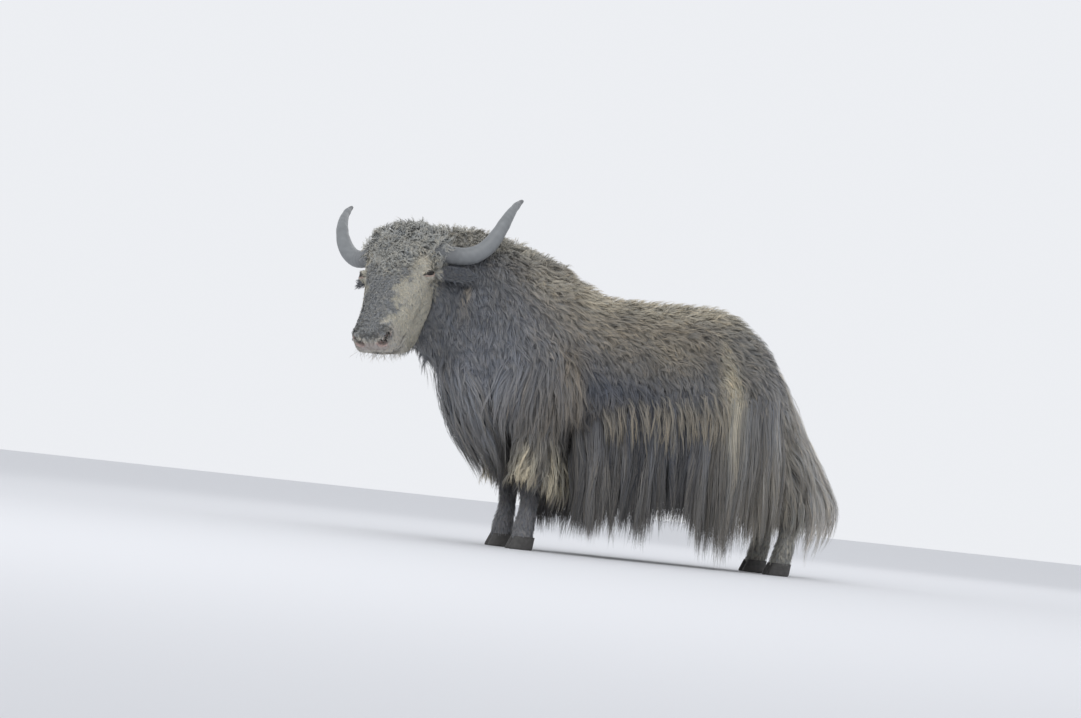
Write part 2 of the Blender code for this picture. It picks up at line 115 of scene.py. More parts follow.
def linear(hex_colour: str) -> Array:
    """The linear colour of an sRGB hex code: ((c + 0.055) / 1.055) ** 2.4 above 0.04045, else c / 12.92."""
    channels = np.array([int(hex_colour[i : i + 2], 16) / 255.0 for i in (0, 2, 4)])
    return np.where(channels > 0.04045, ((channels + 0.055) / 1.055) ** 2.4, channels / 12.92)


def unit(vectors: Array) -> Array:
    """The same directions with length one: v / |v|."""
    return vectors / np.maximum(np.linalg.norm(vectors, axis=-1, keepdims=True), 1e-9)


def dot(a: Array, b: Array) -> Array:
    """Row by row product: the sum of a * b over the last axis, kept as an axis."""
    return np.sum(a * b, axis=-1, keepdims=True)


def smoothstep(start: float, end: float, value: Array) -> Array:
    """Zero before start, one after end, and s * s * (3 - 2 s) between them."""
    s = np.clip((np.asarray(value, dtype=float) - start) / (end - start), 0.0, 1.0)
    return s * s * (3.0 - 2.0 * s)


def bell(value: Array, middle: Array | float, reach: Array | float) -> Array:
    """A smooth rise of height one along a line: exp(-((v - middle) / reach)^2)."""
    return np.exp(-(((value - middle) / reach) ** 2))


def hill(points: Array, centre: Sequence[float], radii: Sequence[float]) -> Array:
    """A smooth hill of height one: exp(-sum(((p - centre) / radii) ** 2))."""
    return np.exp(-np.sum(((points - np.array(centre)) / np.array(radii)) ** 2, axis=-1))


def ripple(points: Array, wavelength: float, seed: int, waves: int = 7) -> Array:
    """A smooth random field from -1 to 1: the mean of sines with random directions and phases."""
    rng = np.random.default_rng(seed)
    heading = unit(rng.normal(size=(waves, 3)))
    heading = heading * rng.uniform(0.7, 1.5, (waves, 1)) * 2.0 * math.pi / wavelength
    return np.sin(points @ heading.T + rng.uniform(0.0, 2.0 * math.pi, waves)).sum(axis=-1) / math.sqrt(waves)


def through(keys: Array, values: Array, at: Array) -> Array:
    """A smooth curve through rows of values at rising keys.

    Args:
        keys: The places of the rows, rising or falling.
        values: One row for each key.
        at: Where the curve is wanted.

    Returns:
        Rows from the cubic h00 v0 + h10 d m0 + h01 v1 + h11 d m1, with slopes m from the neighbours.
    """
    if keys[0] > keys[-1]:
        keys, values = keys[::-1], values[::-1]
    slope = np.gradient(values, keys, axis=0)
    index = np.clip(np.searchsorted(keys, at) - 1, 0, len(keys) - 2)
    gap = (keys[index + 1] - keys[index])[:, None]
    s = np.clip((at - keys[index])[:, None] / gap, 0.0, 1.0)
    return (
        (2 * s**3 - 3 * s**2 + 1) * values[index]
        + (s**3 - 2 * s**2 + s) * gap * slope[index]
        + (3 * s**2 - 2 * s**3) * values[index + 1]
        + (s**3 - s**2) * gap * slope[index + 1]
    )


def angles(count: int) -> Array:
    """Even steps round a circle, in radians: 2 pi i / count."""
    return 2.0 * math.pi * np.arange(count) / count


def folded(points: Array) -> Array:
    """The same places with x made positive, since both sides of the head are alike."""
    out = points.copy()
    out[..., 0] = np.abs(out[..., 0])
    return out


def table(*rows: Sequence[float]) -> Array:
    """Rows of numbers as one array."""
    return np.array(rows)


def bezier(bends: Sequence[Sequence[float]], t: Array) -> Array:
    """The cubic (1-t)^3 a + 3 (1-t)^2 t b + 3 (1-t) t^2 c + t^3 d."""
    a, b, c, d = np.array(bends, dtype=float)
    t = np.asarray(t)[..., None]
    return (1 - t) ** 3 * a + 3 * (1 - t) ** 2 * t * b + 3 * (1 - t) * t**2 * c + t**3 * d


@dataclass
class Shape:
    """Points and faces of a mesh that is still arrays.

    Attributes:
        points: Places, one row each.
        faces: Arrays of corner numbers, one array for each number of corners.
    """

    points: Array
    faces: list[Array]

    def triangles(self) -> Array:
        """Every face as triangles, fanned from its first corner."""
        fans = [f[:, [0, i, i + 1]] for f in self.faces for i in range(1, f.shape[1] - 1)]
        return np.concatenate(fans)

    def normals(self) -> Array:
        """Outward unit vectors at the points: the area weighted mean of the triangles round each."""
        corners = self.triangles()
        p = self.points[corners]
        face = np.cross(p[:, 1] - p[:, 0], p[:, 2] - p[:, 0])
        total = np.zeros_like(self.points)
        for i in range(3):
            np.add.at(total, corners[:, i], face)
        return unit(total)

    def facing_out(self) -> "Shape":
        """The same shape, with its faces turned round where its volume comes out below zero."""
        p = self.points[self.triangles()]
        volume = np.sum(np.cross(p[:, 0], p[:, 1]) * p[:, 2])
        return self if volume > 0 else Shape(self.points, [f[:, ::-1] for f in self.faces])


def closed_grid(grid: Array) -> Shape:
    """A closed shape over rings of points, with a fan of triangles at both ends.

    Args:
        grid: Rings along the first axis and places round each ring along the second.

    Returns:
        Quads between neighbouring rings, and one pole at the mean of each end ring.
    """
    rings, around = grid.shape[:2]
    index = np.arange(rings * around).reshape(rings, around)
    turned = np.roll(index, -1, axis=1)
    quads = np.stack([index[:-1], turned[:-1], turned[1:], index[1:]], axis=-1).reshape(-1, 4)
    poles = np.stack([grid[0].mean(axis=0), grid[-1].mean(axis=0)])
    first, last = rings * around, rings * around + 1
    start = np.stack([turned[0], index[0], np.full(around, first)], axis=-1)
    end = np.stack([index[-1], turned[-1], np.full(around, last)], axis=-1)
    return Shape(np.concatenate([grid.reshape(-1, 3), poles]), [quads, start, end]).facing_out()


def swept_grid(line: Array, sizes: Array, around: int, lift: Sequence[float]) -> Array:
    """Oval rings square to a line.

    Args:
        line: The line's points.
        sizes: Half size along the lift direction and half size across it, for each point.
        around: Points in each ring.
        lift: A direction that keeps the rings from twisting.

    Returns:
        place + up a cos(v) + across b sin(v) for each place and angle v.
    """
    ahead = unit(np.gradient(line, axis=0))
    up = unit(np.array(lift) - dot(np.broadcast_to(np.array(lift), line.shape), ahead) * ahead)
    across = np.cross(ahead, up)
    v = angles(around)
    return (
        line[:, None]
        + up[:, None] * (sizes[:, None, :1] * np.cos(v)[None, :, None])
        + across[:, None] * (sizes[:, None, 1:] * np.sin(v)[None, :, None])
    )


class Frame:
    """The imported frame, and how far it lies from the frame that this script works in."""

    def __init__(self) -> None:
        self.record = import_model()
        self.cad_box = [list(corner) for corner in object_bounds()]
        low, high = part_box("claw_fore_left_outer")
        self.shift = np.array((0.0, (low[1] + high[1]) / 2 - CLAW_CENTRE_Y, 0.0))

    def place(self, name: str, shape: Shape, material: Material) -> Object:
        """Makes the shape an object of the scene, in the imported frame."""
        mesh = bpy.data.meshes.new(name)
        corners = np.concatenate([f.reshape(-1) for f in shape.faces]).astype(np.int32)
        totals = np.concatenate([np.full(len(f), f.shape[1]) for f in shape.faces])
        starts = np.concatenate([[0], np.cumsum(totals)[:-1]]).astype(np.int32)
        mesh.vertices.add(len(shape.points))
        mesh.vertices.foreach_set("co", (shape.points + self.shift).astype(np.float32).ravel())
        mesh.loops.add(len(corners))
        mesh.loops.foreach_set("vertex_index", corners)
        mesh.polygons.add(len(totals))
        mesh.polygons.foreach_set("loop_start", starts)
        mesh.update(calc_edges=True)
        mesh.polygons.foreach_set("use_smooth", np.ones(len(totals), dtype=bool))
        mesh.materials.append(material)
        obj = bpy.data.objects.new(name, mesh)
        bpy.context.scene.collection.objects.link(obj)
        return obj


def paint_points(mesh: bpy.types.Mesh, colours: Array) -> None:
    """Stores one linear colour for each point of the mesh."""
    layer = mesh.color_attributes.new(name=COAT_ATTRIBUTE, type="FLOAT_COLOR", domain="POINT")
    rgba = np.ones((len(colours), 4), dtype=np.float32)
    rgba[:, :3] = colours
    layer.data.foreach_set("color", rgba.ravel())


# The head's own frame: x to the animal's left, y up the face to the poll, z out of the forehead


@dataclass(frozen=True)
class HeadPlace:
    """Where the head is held: the poll's place and how the head is turned, raised and rolled, in degrees."""

    poll: tuple = (0.120, -1.285, 1.300)
    turn: float = 45.5
    slope: float = 33.5
    roll: float = 6.5

    def matrix(self) -> Array:
        """Head frame to body frame: move, turn, slope, upright, roll."""
        upright = Matrix(((1, 0, 0, 0), (0, 0, -1, 0), (0, 1, 0, 0), (0, 0, 0, 1)))
        return np.array(
            Matrix.Translation(self.poll)
            @ Matrix.Rotation(math.radians(self.turn), 4, "Z")
            @ Matrix.Rotation(-math.radians(self.slope), 4, "X")
            @ upright
            @ Matrix.Rotation(math.radians(self.roll), 4, "Z")
        )

    def to_body(self, points: Array) -> Array:
        """Points of the head's frame in the body's."""
        m = self.matrix()
        return points @ m[:3, :3].T + m[:3, 3]

    def to_head(self, points: Array) -> Array:
        """Points of the body's frame in the head's."""
        m = self.matrix()
        return (points - m[:3, 3]) @ m[:3, :3]

    def aim(self, directions: Array) -> Array:
        """Directions of the head's frame in the body's."""
        return directions @ self.matrix()[:3, :3].T

    def hold(self, shape: Shape) -> Shape:
        """A shape of the head's frame in the body's, with its faces outward."""
        return Shape(self.to_body(shape.points), shape.faces).facing_out()


@dataclass(frozen=True)
class EyePlace:
    """The left eye in the head's frame: its centre, radius, outward axis and the line of its corners."""

    centre: tuple = (0.1470, -0.216, -0.084)
    radius: float = 0.0215
    axis: tuple = (0.80, -0.20, 0.56)
    corners: tuple = (-0.55, -0.60, 0.45)
    half_length: float = 0.0185
    upper: float = 0.0108
    lower: float = 0.0100
    lid: float = 0.0030

    def basis(self) -> Array:
        """Rows: toward the inner corner, toward the brow, and outward."""
        out = unit(np.array(self.axis))
        along = unit(np.array(self.corners) - np.dot(self.corners, out) * out)
        return np.stack([along, np.cross(along, out), out])

    def to_eye(self, points: Array) -> Array:
        """Points of the head's frame, measured from the left eye's centre along its basis."""
        return (points - np.array(self.centre)) @ self.basis().T

    def to_head(self, points: Array, side: float) -> Array:
        """Points of the eye's own frame in the head's, for the eye of the given side."""
        return (points @ self.basis() + np.array(self.centre)) * np.array((side, 1.0, 1.0))

    def opening(self, local: Array) -> Array:
        """Under one inside the almond between the lids: (a / l)^2 + (b / h)^2."""
        a, b = local[..., 0], local[..., 1]
        return (a / self.half_length) ** 2 + (b / np.where(b > 0, self.upper, self.lower)) ** 2


EYE = EyePlace()


class HeadSkin:
    """The bare head: a loft with a blunt muzzle, then forms, nostrils, mouth and lids pressed into it."""

    # y, front, widest, back, half width, and how much the section narrows toward its front and its back
    ROWS = table(
        (0.034, -0.075, -0.100, -0.140, 0.070, 0.9, 1.0),
        (0.005, -0.046, -0.110, -0.180, 0.128, 0.82, 1.0),
        (-0.045, -0.032, -0.115, -0.212, 0.146, 0.78, 1.0),
        (-0.110, -0.024, -0.120, -0.240, 0.142, 0.78, 1.0),
        (-0.180, -0.016, -0.122, -0.268, 0.134, 0.82, 1.00),
        (-0.240, -0.010, -0.120, -0.290, 0.131, 0.92, 0.95),
        (-0.300, -0.004, -0.120, -0.302, 0.124, 1.05, 0.85),
        (-0.360, -0.001, -0.124, -0.308, 0.113, 1.10, 0.74),
        (-0.430, -0.003, -0.126, -0.300, 0.104, 1.05, 0.68),
        (-0.490, -0.008, -0.114, -0.258, 0.097, 0.85, 0.62),
        (-0.530, -0.016, -0.102, -0.202, 0.093, 0.60, 0.54),
        (-0.545, -0.021, -0.100, -0.180, 0.092, 0.56, 0.50),
    )
    # start, end and step of each stretch of rings along y
    SPANS = (
        (0.034, -0.180, 0.0045),
        (-0.180, -0.268, 0.0021),
        (-0.268, -0.480, 0.0044),
        (-0.480, -0.545, 0.0024),
    )
    CAP_REACH = 0.055
    CAP_CHIN = 0.050
    CAP_BROW = 0.018
    CAP_RINGS = 44
    FRONT_POINTS = 172
    BACK_POINTS = 92
    LID_POINTS = 72
    LID_AROUND = 12
    # centre, radii and height of each raised or hollow form, the same on both sides
    FORMS = (
        ((0.122, -0.188, -0.066), (0.036, 0.034, 0.036), 0.018),
        ((0.136, -0.250, -0.104), (0.030, 0.030, 0.030), 0.008),
        ((0.146, -0.062, -0.105), (0.040, 0.042, 0.042), 0.024),
        ((0.118, -0.150, -0.150), (0.040, 0.035, 0.040), -0.006),
        ((0.085, -0.318, -0.040), (0.026, 0.060, 0.030), -0.009),
        ((0.100, -0.352, -0.128), (0.028, 0.085, 0.016), 0.006),
        ((0.102, -0.260, -0.215), (0.045, 0.080, 0.055), 0.010),
        ((0.000, -0.300, -0.005), (0.030, 0.120, 0.040), 0.004),
        ((0.054, -0.562, -0.044), (0.028, 0.026, 0.024), 0.015),
        ((0.066, -0.560, -0.112), (0.032, 0.040, 0.026), 0.007),
        ((0.000, -0.600, -0.060), (0.011, 0.050, 0.040), -0.004),
        ((0.070, -0.430, -0.060), (0.018, 0.050, 0.020), -0.006),
        ((0.100, -0.330, -0.090), (0.014, 0.090, 0.014), 0.005),
        ((0.088, -0.500, -0.110), (0.030, 0.022, 0.030), -0.004),
        ((0.000, -0.535, -0.186), (0.050, 0.045, 0.026), 0.006),
        ((0.090, -0.150, -0.030), (0.050, 0.050, 0.040), 0.006),
    )
    MOUTH_CORNER_Y = -0.478
    MOUTH_FRONT_Z = -0.122
    MOUTH_DEPTH = 0.0095
    MOUTH_REACH = 0.0046
    CHIN_DEPTH = 0.006
    NOSTRIL_DEPTH = 0.022
    NOSTRIL_EDGE = 0.0045
    WRINKLE = 0.0010
    WRINKLED = ((0.040, -0.520, -0.040), (0.040, 0.030, 0.030))
    NOSTRIL = ((0.0500, -0.585, -0.062), (0.0210, 0.036, 0.0135))
    NOSTRIL_TAIL = ((0.0700, -0.572, -0.046), (0.0125, 0.032, 0.0095))

    def base(self) -> Array:
        """The loft: x = w c|c|^(p-1), z = widest + (front - widest) s, and a rounded muzzle cap."""
        stations = [np.arange(a, b, -step) for a, b, step in self.SPANS]
        y = np.concatenate([*stations, [self.SPANS[-1][1]]])
        rows = through(self.ROWS[:, 0], self.ROWS[:, 1:], y)
        phi = np.linspace(0.0, 0.5 * math.pi, self.CAP_RINGS + 1)[1:]
        shrink = np.cos(phi) ** 0.50
        shrink[-1] = 0.04
        y = np.concatenate([y, y[-1] - self.CAP_REACH * np.sin(phi)])
        last = np.repeat(rows[-1:], len(phi), axis=0)
        centre = 0.5 * (last[:, 0] + last[:, 2])
        for column in range(3):
            last[:, column] = centre + (last[:, column] - centre) * shrink
        last[:, 3] *= shrink
        rows = np.concatenate([rows, last])
        front, widest, back, half, narrow_front, narrow_back = (rows[:, i : i + 1] for i in range(6))
        t = np.concatenate(
            [
                math.pi * np.arange(self.FRONT_POINTS) / self.FRONT_POINTS,
                math.pi + math.pi * np.arange(self.BACK_POINTS) / self.BACK_POINTS,
            ]
        )[None]
        c, s = np.cos(t), np.sin(t)
        power = np.where(s > 0, narrow_front, narrow_back)
        x = half * np.sign(c) * np.abs(c) ** power
        z = widest + np.where(s > 0, front - widest, widest - back) * np.sign(s) * np.abs(s) ** 0.92
        tip = np.clip((self.SPANS[-1][1] - y) / self.CAP_REACH, 0.0, 1.0)[:, None]
        pull = self.CAP_CHIN * smoothstep(-0.115, -0.200, z) + self.CAP_BROW * smoothstep(-0.075, -0.015, z)
        return np.stack([x, y[:, None] + tip * pull, z], axis=-1)

    def mouth_line(self, q: Array) -> Array:
        """The height of the mouth line at the place q along the face, lower toward its corner."""
        return self.MOUTH_FRONT_Z - 0.16 * np.clip(q[..., 1] + 0.604, 0.0, 0.12)

    def mouth(self, q: Array, reach: float) -> Array:
        """One on the mouth line, falling off above and below it."""
        return bell(q[..., 2], self.mouth_line(q), reach)

    @classmethod
    def nostril(cls, q: Array) -> Array:
        """One in the nostril, and nearly one in the slit behind it."""
        return np.maximum(hill(q, *cls.NOSTRIL), 0.9 * hill(q, *cls.NOSTRIL_TAIL))

    def press(self, grid: Array) -> Array:
        """Moves each point along its normal by the sum of the forms there."""
        around = np.roll(grid, -1, axis=1) - np.roll(grid, 1, axis=1)
        along = np.gradient(grid, axis=0)
        normal = unit(np.cross(around, along))
        outward = np.sign(np.sum(normal * (grid - np.array((0.0, -0.3, -0.13))), axis=-1).mean())
        normal *= outward
        q = folded(grid)
        height = sum(size * hill(q, centre, radii) for centre, radii, size in self.FORMS)
        ahead = 1.0 - smoothstep(self.MOUTH_CORNER_Y - 0.020, self.MOUTH_CORNER_Y + 0.004, q[..., 1])
        height -= self.MOUTH_DEPTH * self.mouth(q, self.MOUTH_REACH) * ahead
        chin = 1.0 - smoothstep(-0.012, 0.004, q[..., 2] - self.mouth_line(q))
        height -= self.CHIN_DEPTH * chin * (1.0 - smoothstep(-0.580, -0.540, q[..., 1]))
        pit = self.nostril(q)
        height -= self.NOSTRIL_DEPTH * smoothstep(0.30, 0.62, pit)
        height += self.NOSTRIL_EDGE * smoothstep(0.05, 0.22, pit) * (1.0 - smoothstep(0.22, 0.40, pit))
        wrinkle = np.sin(q[..., 1] * 620.0 + 3.0 * np.sin(q[..., 0] * 60.0))
        height += self.WRINKLE * wrinkle * hill(q, *self.WRINKLED)
        return grid + normal * height[..., None]

    def wrap_eyes(self, grid: Array) -> Array:
        """Lays the skin over each eyeball as lids, and sinks it behind the opening."""
        out = grid.copy()
        for side in (1.0, -1.0):
            local = EYE.to_eye(out * np.array((side, 1.0, 1.0)))
            h = local[..., 2]
            reach = np.hypot(local[..., 0], local[..., 1])
            near = (h > -0.036) & (reach < 0.050)
            ball = EYE.radius + EYE.lid
            cap = np.sqrt(np.maximum(ball**2 - reach**2, 0.0))
            blend = 1.0 - smoothstep(ball * 0.96, ball * 1.50, reach)
            crease = hill(local, (0.0, 0.014, 0.01), (0.03, 0.016, 0.03))
            fold = 0.0012 * np.sin((reach - ball) * 900.0) * crease
            lifted = h + (np.maximum(cap, h) - h) * blend + fold * (reach > ball * 0.75)
            lifted = np.where(reach < ball * 0.9, np.minimum(lifted, ball), lifted)
            lifted = np.where(EYE.opening(local) < 0.80, EYE.radius * 0.40, lifted)
            local[..., 2] = np.where(near, lifted, h)
            out = np.where(near[..., None], EYE.to_head(local, side), out)
        return out

    def grid(self) -> Array:
        """The finished rings in the head's frame."""
        return self.wrap_eyes(self.press(self.base()))

    def lids(self, side: float) -> Shape:
        """The rims of both lids: a closed tube round the almond, on the eyeball, thicker above."""
        v = angles(self.LID_POINTS)
        a = EYE.half_length * 1.04 * np.cos(v)
        b = np.where(np.sin(v) > 0, EYE.upper, EYE.lower) * np.sign(np.sin(v)) * np.abs(np.sin(v)) ** 1.15
        ball = EYE.radius + 0.0008
        line = np.stack([a, b, np.sqrt(ball**2 - a**2 - b**2)], axis=-1)
        thick = np.where(np.sin(v) > 0, 0.0030, 0.0021) * (0.70 + 0.30 * np.abs(np.sin(v)))
        ahead = unit(np.roll(line, -1, axis=0) - np.roll(line, 1, axis=0))
        out = unit(line)
        across = np.cross(ahead, out)
        w = angles(self.LID_AROUND)
        tube = (
            line[:, None]
            + out[:, None] * (thick[:, None, None] * np.cos(w)[None, :, None])
            + across[:, None] * (thick[:, None, None] * np.sin(w)[None, :, None])
        )
        points = EYE.to_head(tube.reshape(-1, 3), side)
        index = np.arange(self.LID_POINTS * self.LID_AROUND).reshape(self.LID_POINTS, self.LID_AROUND)
        right, down = np.roll(index, -1, axis=1), np.roll(index, -1, axis=0)
        quads = np.stack([index, right, np.roll(right, -1, axis=0), down], axis=-1).reshape(-1, 4)
        return Shape(points, [quads]).facing_out()


class Ear:
    """A leaf-shaped ear, cupped toward the front, that stands out sideways and droops at its tip."""

    ROOT = (0.118, -0.158, -0.130)
    BENDS = {
        1.0: (ROOT, (0.180, -0.146, -0.170), (0.232, -0.132, -0.198), (0.276, -0.120, -0.220)),
        -1.0: (ROOT, (0.170, -0.148, -0.166), (0.208, -0.138, -0.190), (0.236, -0.134, -0.206)),
    }
    HALF_WIDTH = 0.040
    THICKNESS = 0.0045
    CUP = 0.42

    def grid(self, side: float) -> Array:
        """Rings of a thin crescent: up w cos(v), front c w cos(v)^2 + d sin(v)."""
        t = np.linspace(0.0, 1.0, 44)
        line = bezier(self.BENDS[side], t)
        leaf = np.clip(1.0 - ((t - 0.50) / 0.51) ** 4, 0.02, 1.0) ** 0.5
        leaf = leaf * (0.55 + 0.45 * smoothstep(0.0, 0.40, t))
        ahead = unit(np.gradient(line, axis=0))
        up = unit(np.array((0.0, 1.0, 0.0)) - ahead[:, 1:2] * ahead)
        front = np.cross(ahead, up)
        front *= np.sign(front[:, 2:3])
        v = angles(40)
        width = self.HALF_WIDTH * leaf[:, None] * np.cos(v)[None]
        open_up = smoothstep(0.05, 0.35, t)[:, None]
        depth = self.CUP * self.HALF_WIDTH * leaf[:, None] * (np.cos(v)[None] ** 2 - 0.5) * open_up
        depth = depth + (self.THICKNESS + 0.010 * (1.0 - open_up)) * np.sin(v)[None] * leaf[:, None]
        grid = line[:, None] + up[:, None] * width[..., None] + front[:, None] * depth[..., None]
        return grid * np.array((side, 1.0, 1.0))


# The trunk, neck and legs under the coat


class BodySkin:
    """Neck, trunk, legs and dock under the coat, melted into one closed skin."""

    # y, top, widest, bottom, half width, sideways shift
    TRUNK = table(
        (-1.200, 1.230, 1.060, 0.850, 0.084, 0.092), (-1.120, 1.276, 1.050, 0.762, 0.112, 0.070),
        (-1.000, 1.302, 1.020, 0.704, 0.150, 0.045), (-0.880, 1.298, 0.980, 0.630, 0.196, 0.025),
        (-0.740, 1.264, 0.860, 0.545, 0.242, 0.005), (-0.560, 1.210, 0.760, 0.520, 0.262, 0.0),
        (-0.340, 1.104, 0.700, 0.490, 0.280, 0.0), (-0.100, 1.096, 0.680, 0.470, 0.294, 0.0),
        (0.110, 1.108, 0.690, 0.480, 0.292, 0.0), (0.240, 1.102, 0.720, 0.510, 0.274, 0.0),
        (0.360, 1.030, 0.740, 0.540, 0.243, 0.0), (0.460, 0.920, 0.740, 0.580, 0.190, 0.0),
        (0.510, 0.830, 0.730, 0.640, 0.100, 0.0),
    )
    # z, x, y, half width, half depth
    FORELEG = table(
        (0.760, 0.160, -0.595, 0.062, 0.125), (0.600, 0.156, -0.598, 0.056, 0.096),
        (0.480, 0.152, -0.604, 0.048, 0.066), (0.390, 0.148, -0.608, 0.041, 0.050),
        (0.315, 0.145, -0.612, 0.043, 0.048), (0.240, 0.143, -0.610, 0.033, 0.037),
        (0.150, 0.141, -0.611, 0.033, 0.037), (0.108, 0.140, -0.618, 0.039, 0.044),
        (0.080, 0.140, -0.620, 0.039, 0.042), (0.060, 0.140, -0.620, 0.042, 0.045),
        (0.030, 0.140, -0.624, 0.040, 0.043),
    )
    HINDLEG = table(
        (0.860, 0.142, 0.315, 0.065, 0.130), (0.700, 0.150, 0.365, 0.068, 0.140),
        (0.560, 0.150, 0.440, 0.058, 0.100), (0.440, 0.148, 0.530, 0.045, 0.066),
        (0.360, 0.145, 0.572, 0.042, 0.052), (0.290, 0.140, 0.588, 0.036, 0.043),
        (0.210, 0.136, 0.592, 0.034, 0.039), (0.150, 0.132, 0.590, 0.034, 0.038),
        (0.108, 0.130, 0.584, 0.039, 0.044), (0.080, 0.130, 0.578, 0.039, 0.042),
        (0.060, 0.130, 0.574, 0.042, 0.045), (0.030, 0.130, 0.570, 0.040, 0.043),
    )
    # z, x, y, half width, half depth
    DOCK = table(
        (0.985, 0.0, 0.400, 0.026, 0.026), (0.880, 0.0, 0.478, 0.026, 0.024),
        (0.760, 0.0, 0.540, 0.022, 0.020), (0.620, 0.0, 0.596, 0.018, 0.016),
        (0.500, 0.0, 0.645, 0.010, 0.010),
    )
    LIMB_RINGS = 60
    LIMB_AROUND = 28
    VOXEL = 0.0145

    def trunk(self) -> Shape:
        """Upright ovals along the body, fuller below than above."""
        y = np.linspace(self.TRUNK[0, 0], self.TRUNK[-1, 0], 90)
        top, widest, bottom, half, shift = through(self.TRUNK[:, 0], self.TRUNK[:, 1:], y).T[:, :, None]
        v = angles(64)[None]
        side, rise = np.sin(v), np.cos(v)
        power = np.where(rise > 0, 1.0, 0.86)
        x = shift + half * np.sign(side) * np.abs(side) ** power
        z = widest + np.where(rise > 0, top - widest, widest - bottom) * rise
        return closed_grid(np.stack([x, np.broadcast_to(y[:, None], x.shape), z], axis=-1))

    def limb(self, rows: Array, side: float) -> Shape:
        """Level ovals down a limb."""
        z = np.linspace(rows[0, 0], rows[-1, 0], self.LIMB_RINGS)
        x, y, half_width, half_depth = through(rows[:, 0], rows[:, 1:], z).T[:, :, None]
        v = angles(self.LIMB_AROUND)[None]
        across, along = side * (x + half_width * np.cos(v)), y + half_depth * np.sin(v)
        return closed_grid(np.stack([across, along, np.broadcast_to(z[:, None], along.shape)], axis=-1))

    def build(self, frame: Frame, material: Material) -> Object:
        """Melts the lofts into one skin of even faces and smooths it."""
        shapes = [self.trunk(), self.limb(self.DOCK, 1.0)]
        for side in (1.0, -1.0):
            shapes += [self.limb(self.FORELEG, side), self.limb(self.HINDLEG, side)]
        points, faces, count = [], [], 0
        for shape in shapes:
            points.append(shape.points)
            faces += [f + count for f in shape.faces]
            count += len(shape.points)
        obj = frame.place("skin", Shape(np.concatenate(points), faces), material)
        melt = obj.modifiers.new("Melt", "REMESH")
        melt.mode = "VOXEL"
        melt.voxel_size = self.VOXEL
        smooth = obj.modifiers.new("Smooth", "SMOOTH")
        smooth.factor = 0.5
        smooth.iterations = 4
        return settle(obj)


def settle(obj: Object) -> Object:
    """Replaces the object's mesh with the one that its modifiers make."""
    graph = bpy.context.evaluated_depsgraph_get()
    graph.update()
    mesh = bpy.data.meshes.new_from_object(obj.evaluated_get(graph))
    obj.modifiers.clear()
    obj.data = mesh
    return obj


def weld(obj: Object, other: Object) -> None:
    """Joins the other closed mesh into the object as one closed skin, and removes it."""
    union = obj.modifiers.new("Weld", "BOOLEAN")
    union.operation = "UNION"
    union.object = other
    union.solver = "MANIFOLD"
    settle(obj)
    bpy.data.objects.remove(other, do_unlink=True)


def read_shape(obj: Object, shift: Array) -> Shape:
    """The object's points and triangles as arrays, in the frame this script works in."""
    mesh = obj.data
    mesh.calc_loop_triangles()
    points = np.empty(len(mesh.vertices) * 3, np.float32)
    mesh.vertices.foreach_get("co", points)
    corners = np.empty(len(mesh.loop_triangles) * 3, np.int32)
    mesh.loop_triangles.foreach_get("vertices", corners)
    return Shape(points.reshape(-1, 3).astype(float) - shift, [corners.reshape(-1, 3)])


class Distance:
    """Signed distance to a skin on an even grid, read between its points."""

    LOW = np.array((-0.46, -1.42, 0.0))
    HIGH = np.array((0.52, 0.92, 1.46))
    STEP = 0.026

    def __init__(self, shape: Shape) -> None:
        tree = BVHTree.FromPolygons(shape.points.tolist(), shape.triangles().tolist())
        axes = [np.arange(a, b + self.STEP, self.STEP) for a, b in zip(self.LOW, self.HIGH)]
        self.size = np.array([len(axis) for axis in axes])
        grid = np.stack(np.meshgrid(*axes, indexing="ij"), axis=-1).reshape(-1, 3)
        near = [tree.find_nearest(Vector(p)) for p in grid]
        place = np.array([hit[0] for hit in near])
        normal = np.array([hit[1] for hit in near])
        apart = np.linalg.norm(grid - place, axis=1)
        inside = np.sum((grid - place) * normal, axis=1) < 0
        self.values = np.where(inside, -apart, apart).reshape(self.size)

    def value(self, points: Array) -> Array:
        """Distance at the points, linear between the eight grid points round each."""
        place = np.clip((points - self.LOW) / self.STEP, 0.0, self.size - 1.001)
        cell = place.astype(int)
        f = place - cell
        total = np.zeros(len(points))
        for corner in range(8):
            bits = np.array([(corner >> k) & 1 for k in range(3)])
            weight = np.prod(np.where(bits, f, 1.0 - f), axis=1)
            i, j, k = (cell + bits).T
            total += weight * self.values[i, j, k]
        return total

    def normal(self, points: Array) -> Array:
        """Direction away from the skin: the slope of the distance over one grid step each way."""
        steps = np.eye(3) * self.STEP * 0.75
        return unit(np.stack([self.value(points + s) - self.value(points - s) for s in steps], axis=-1))


# Colour


@dataclass(frozen=True)
class Spot:
    """A soft patch of colour on the body's side: its middle, reach, colour and strength."""

    middle: tuple
    reach: tuple
    colour: str
    strength: float = 1.0


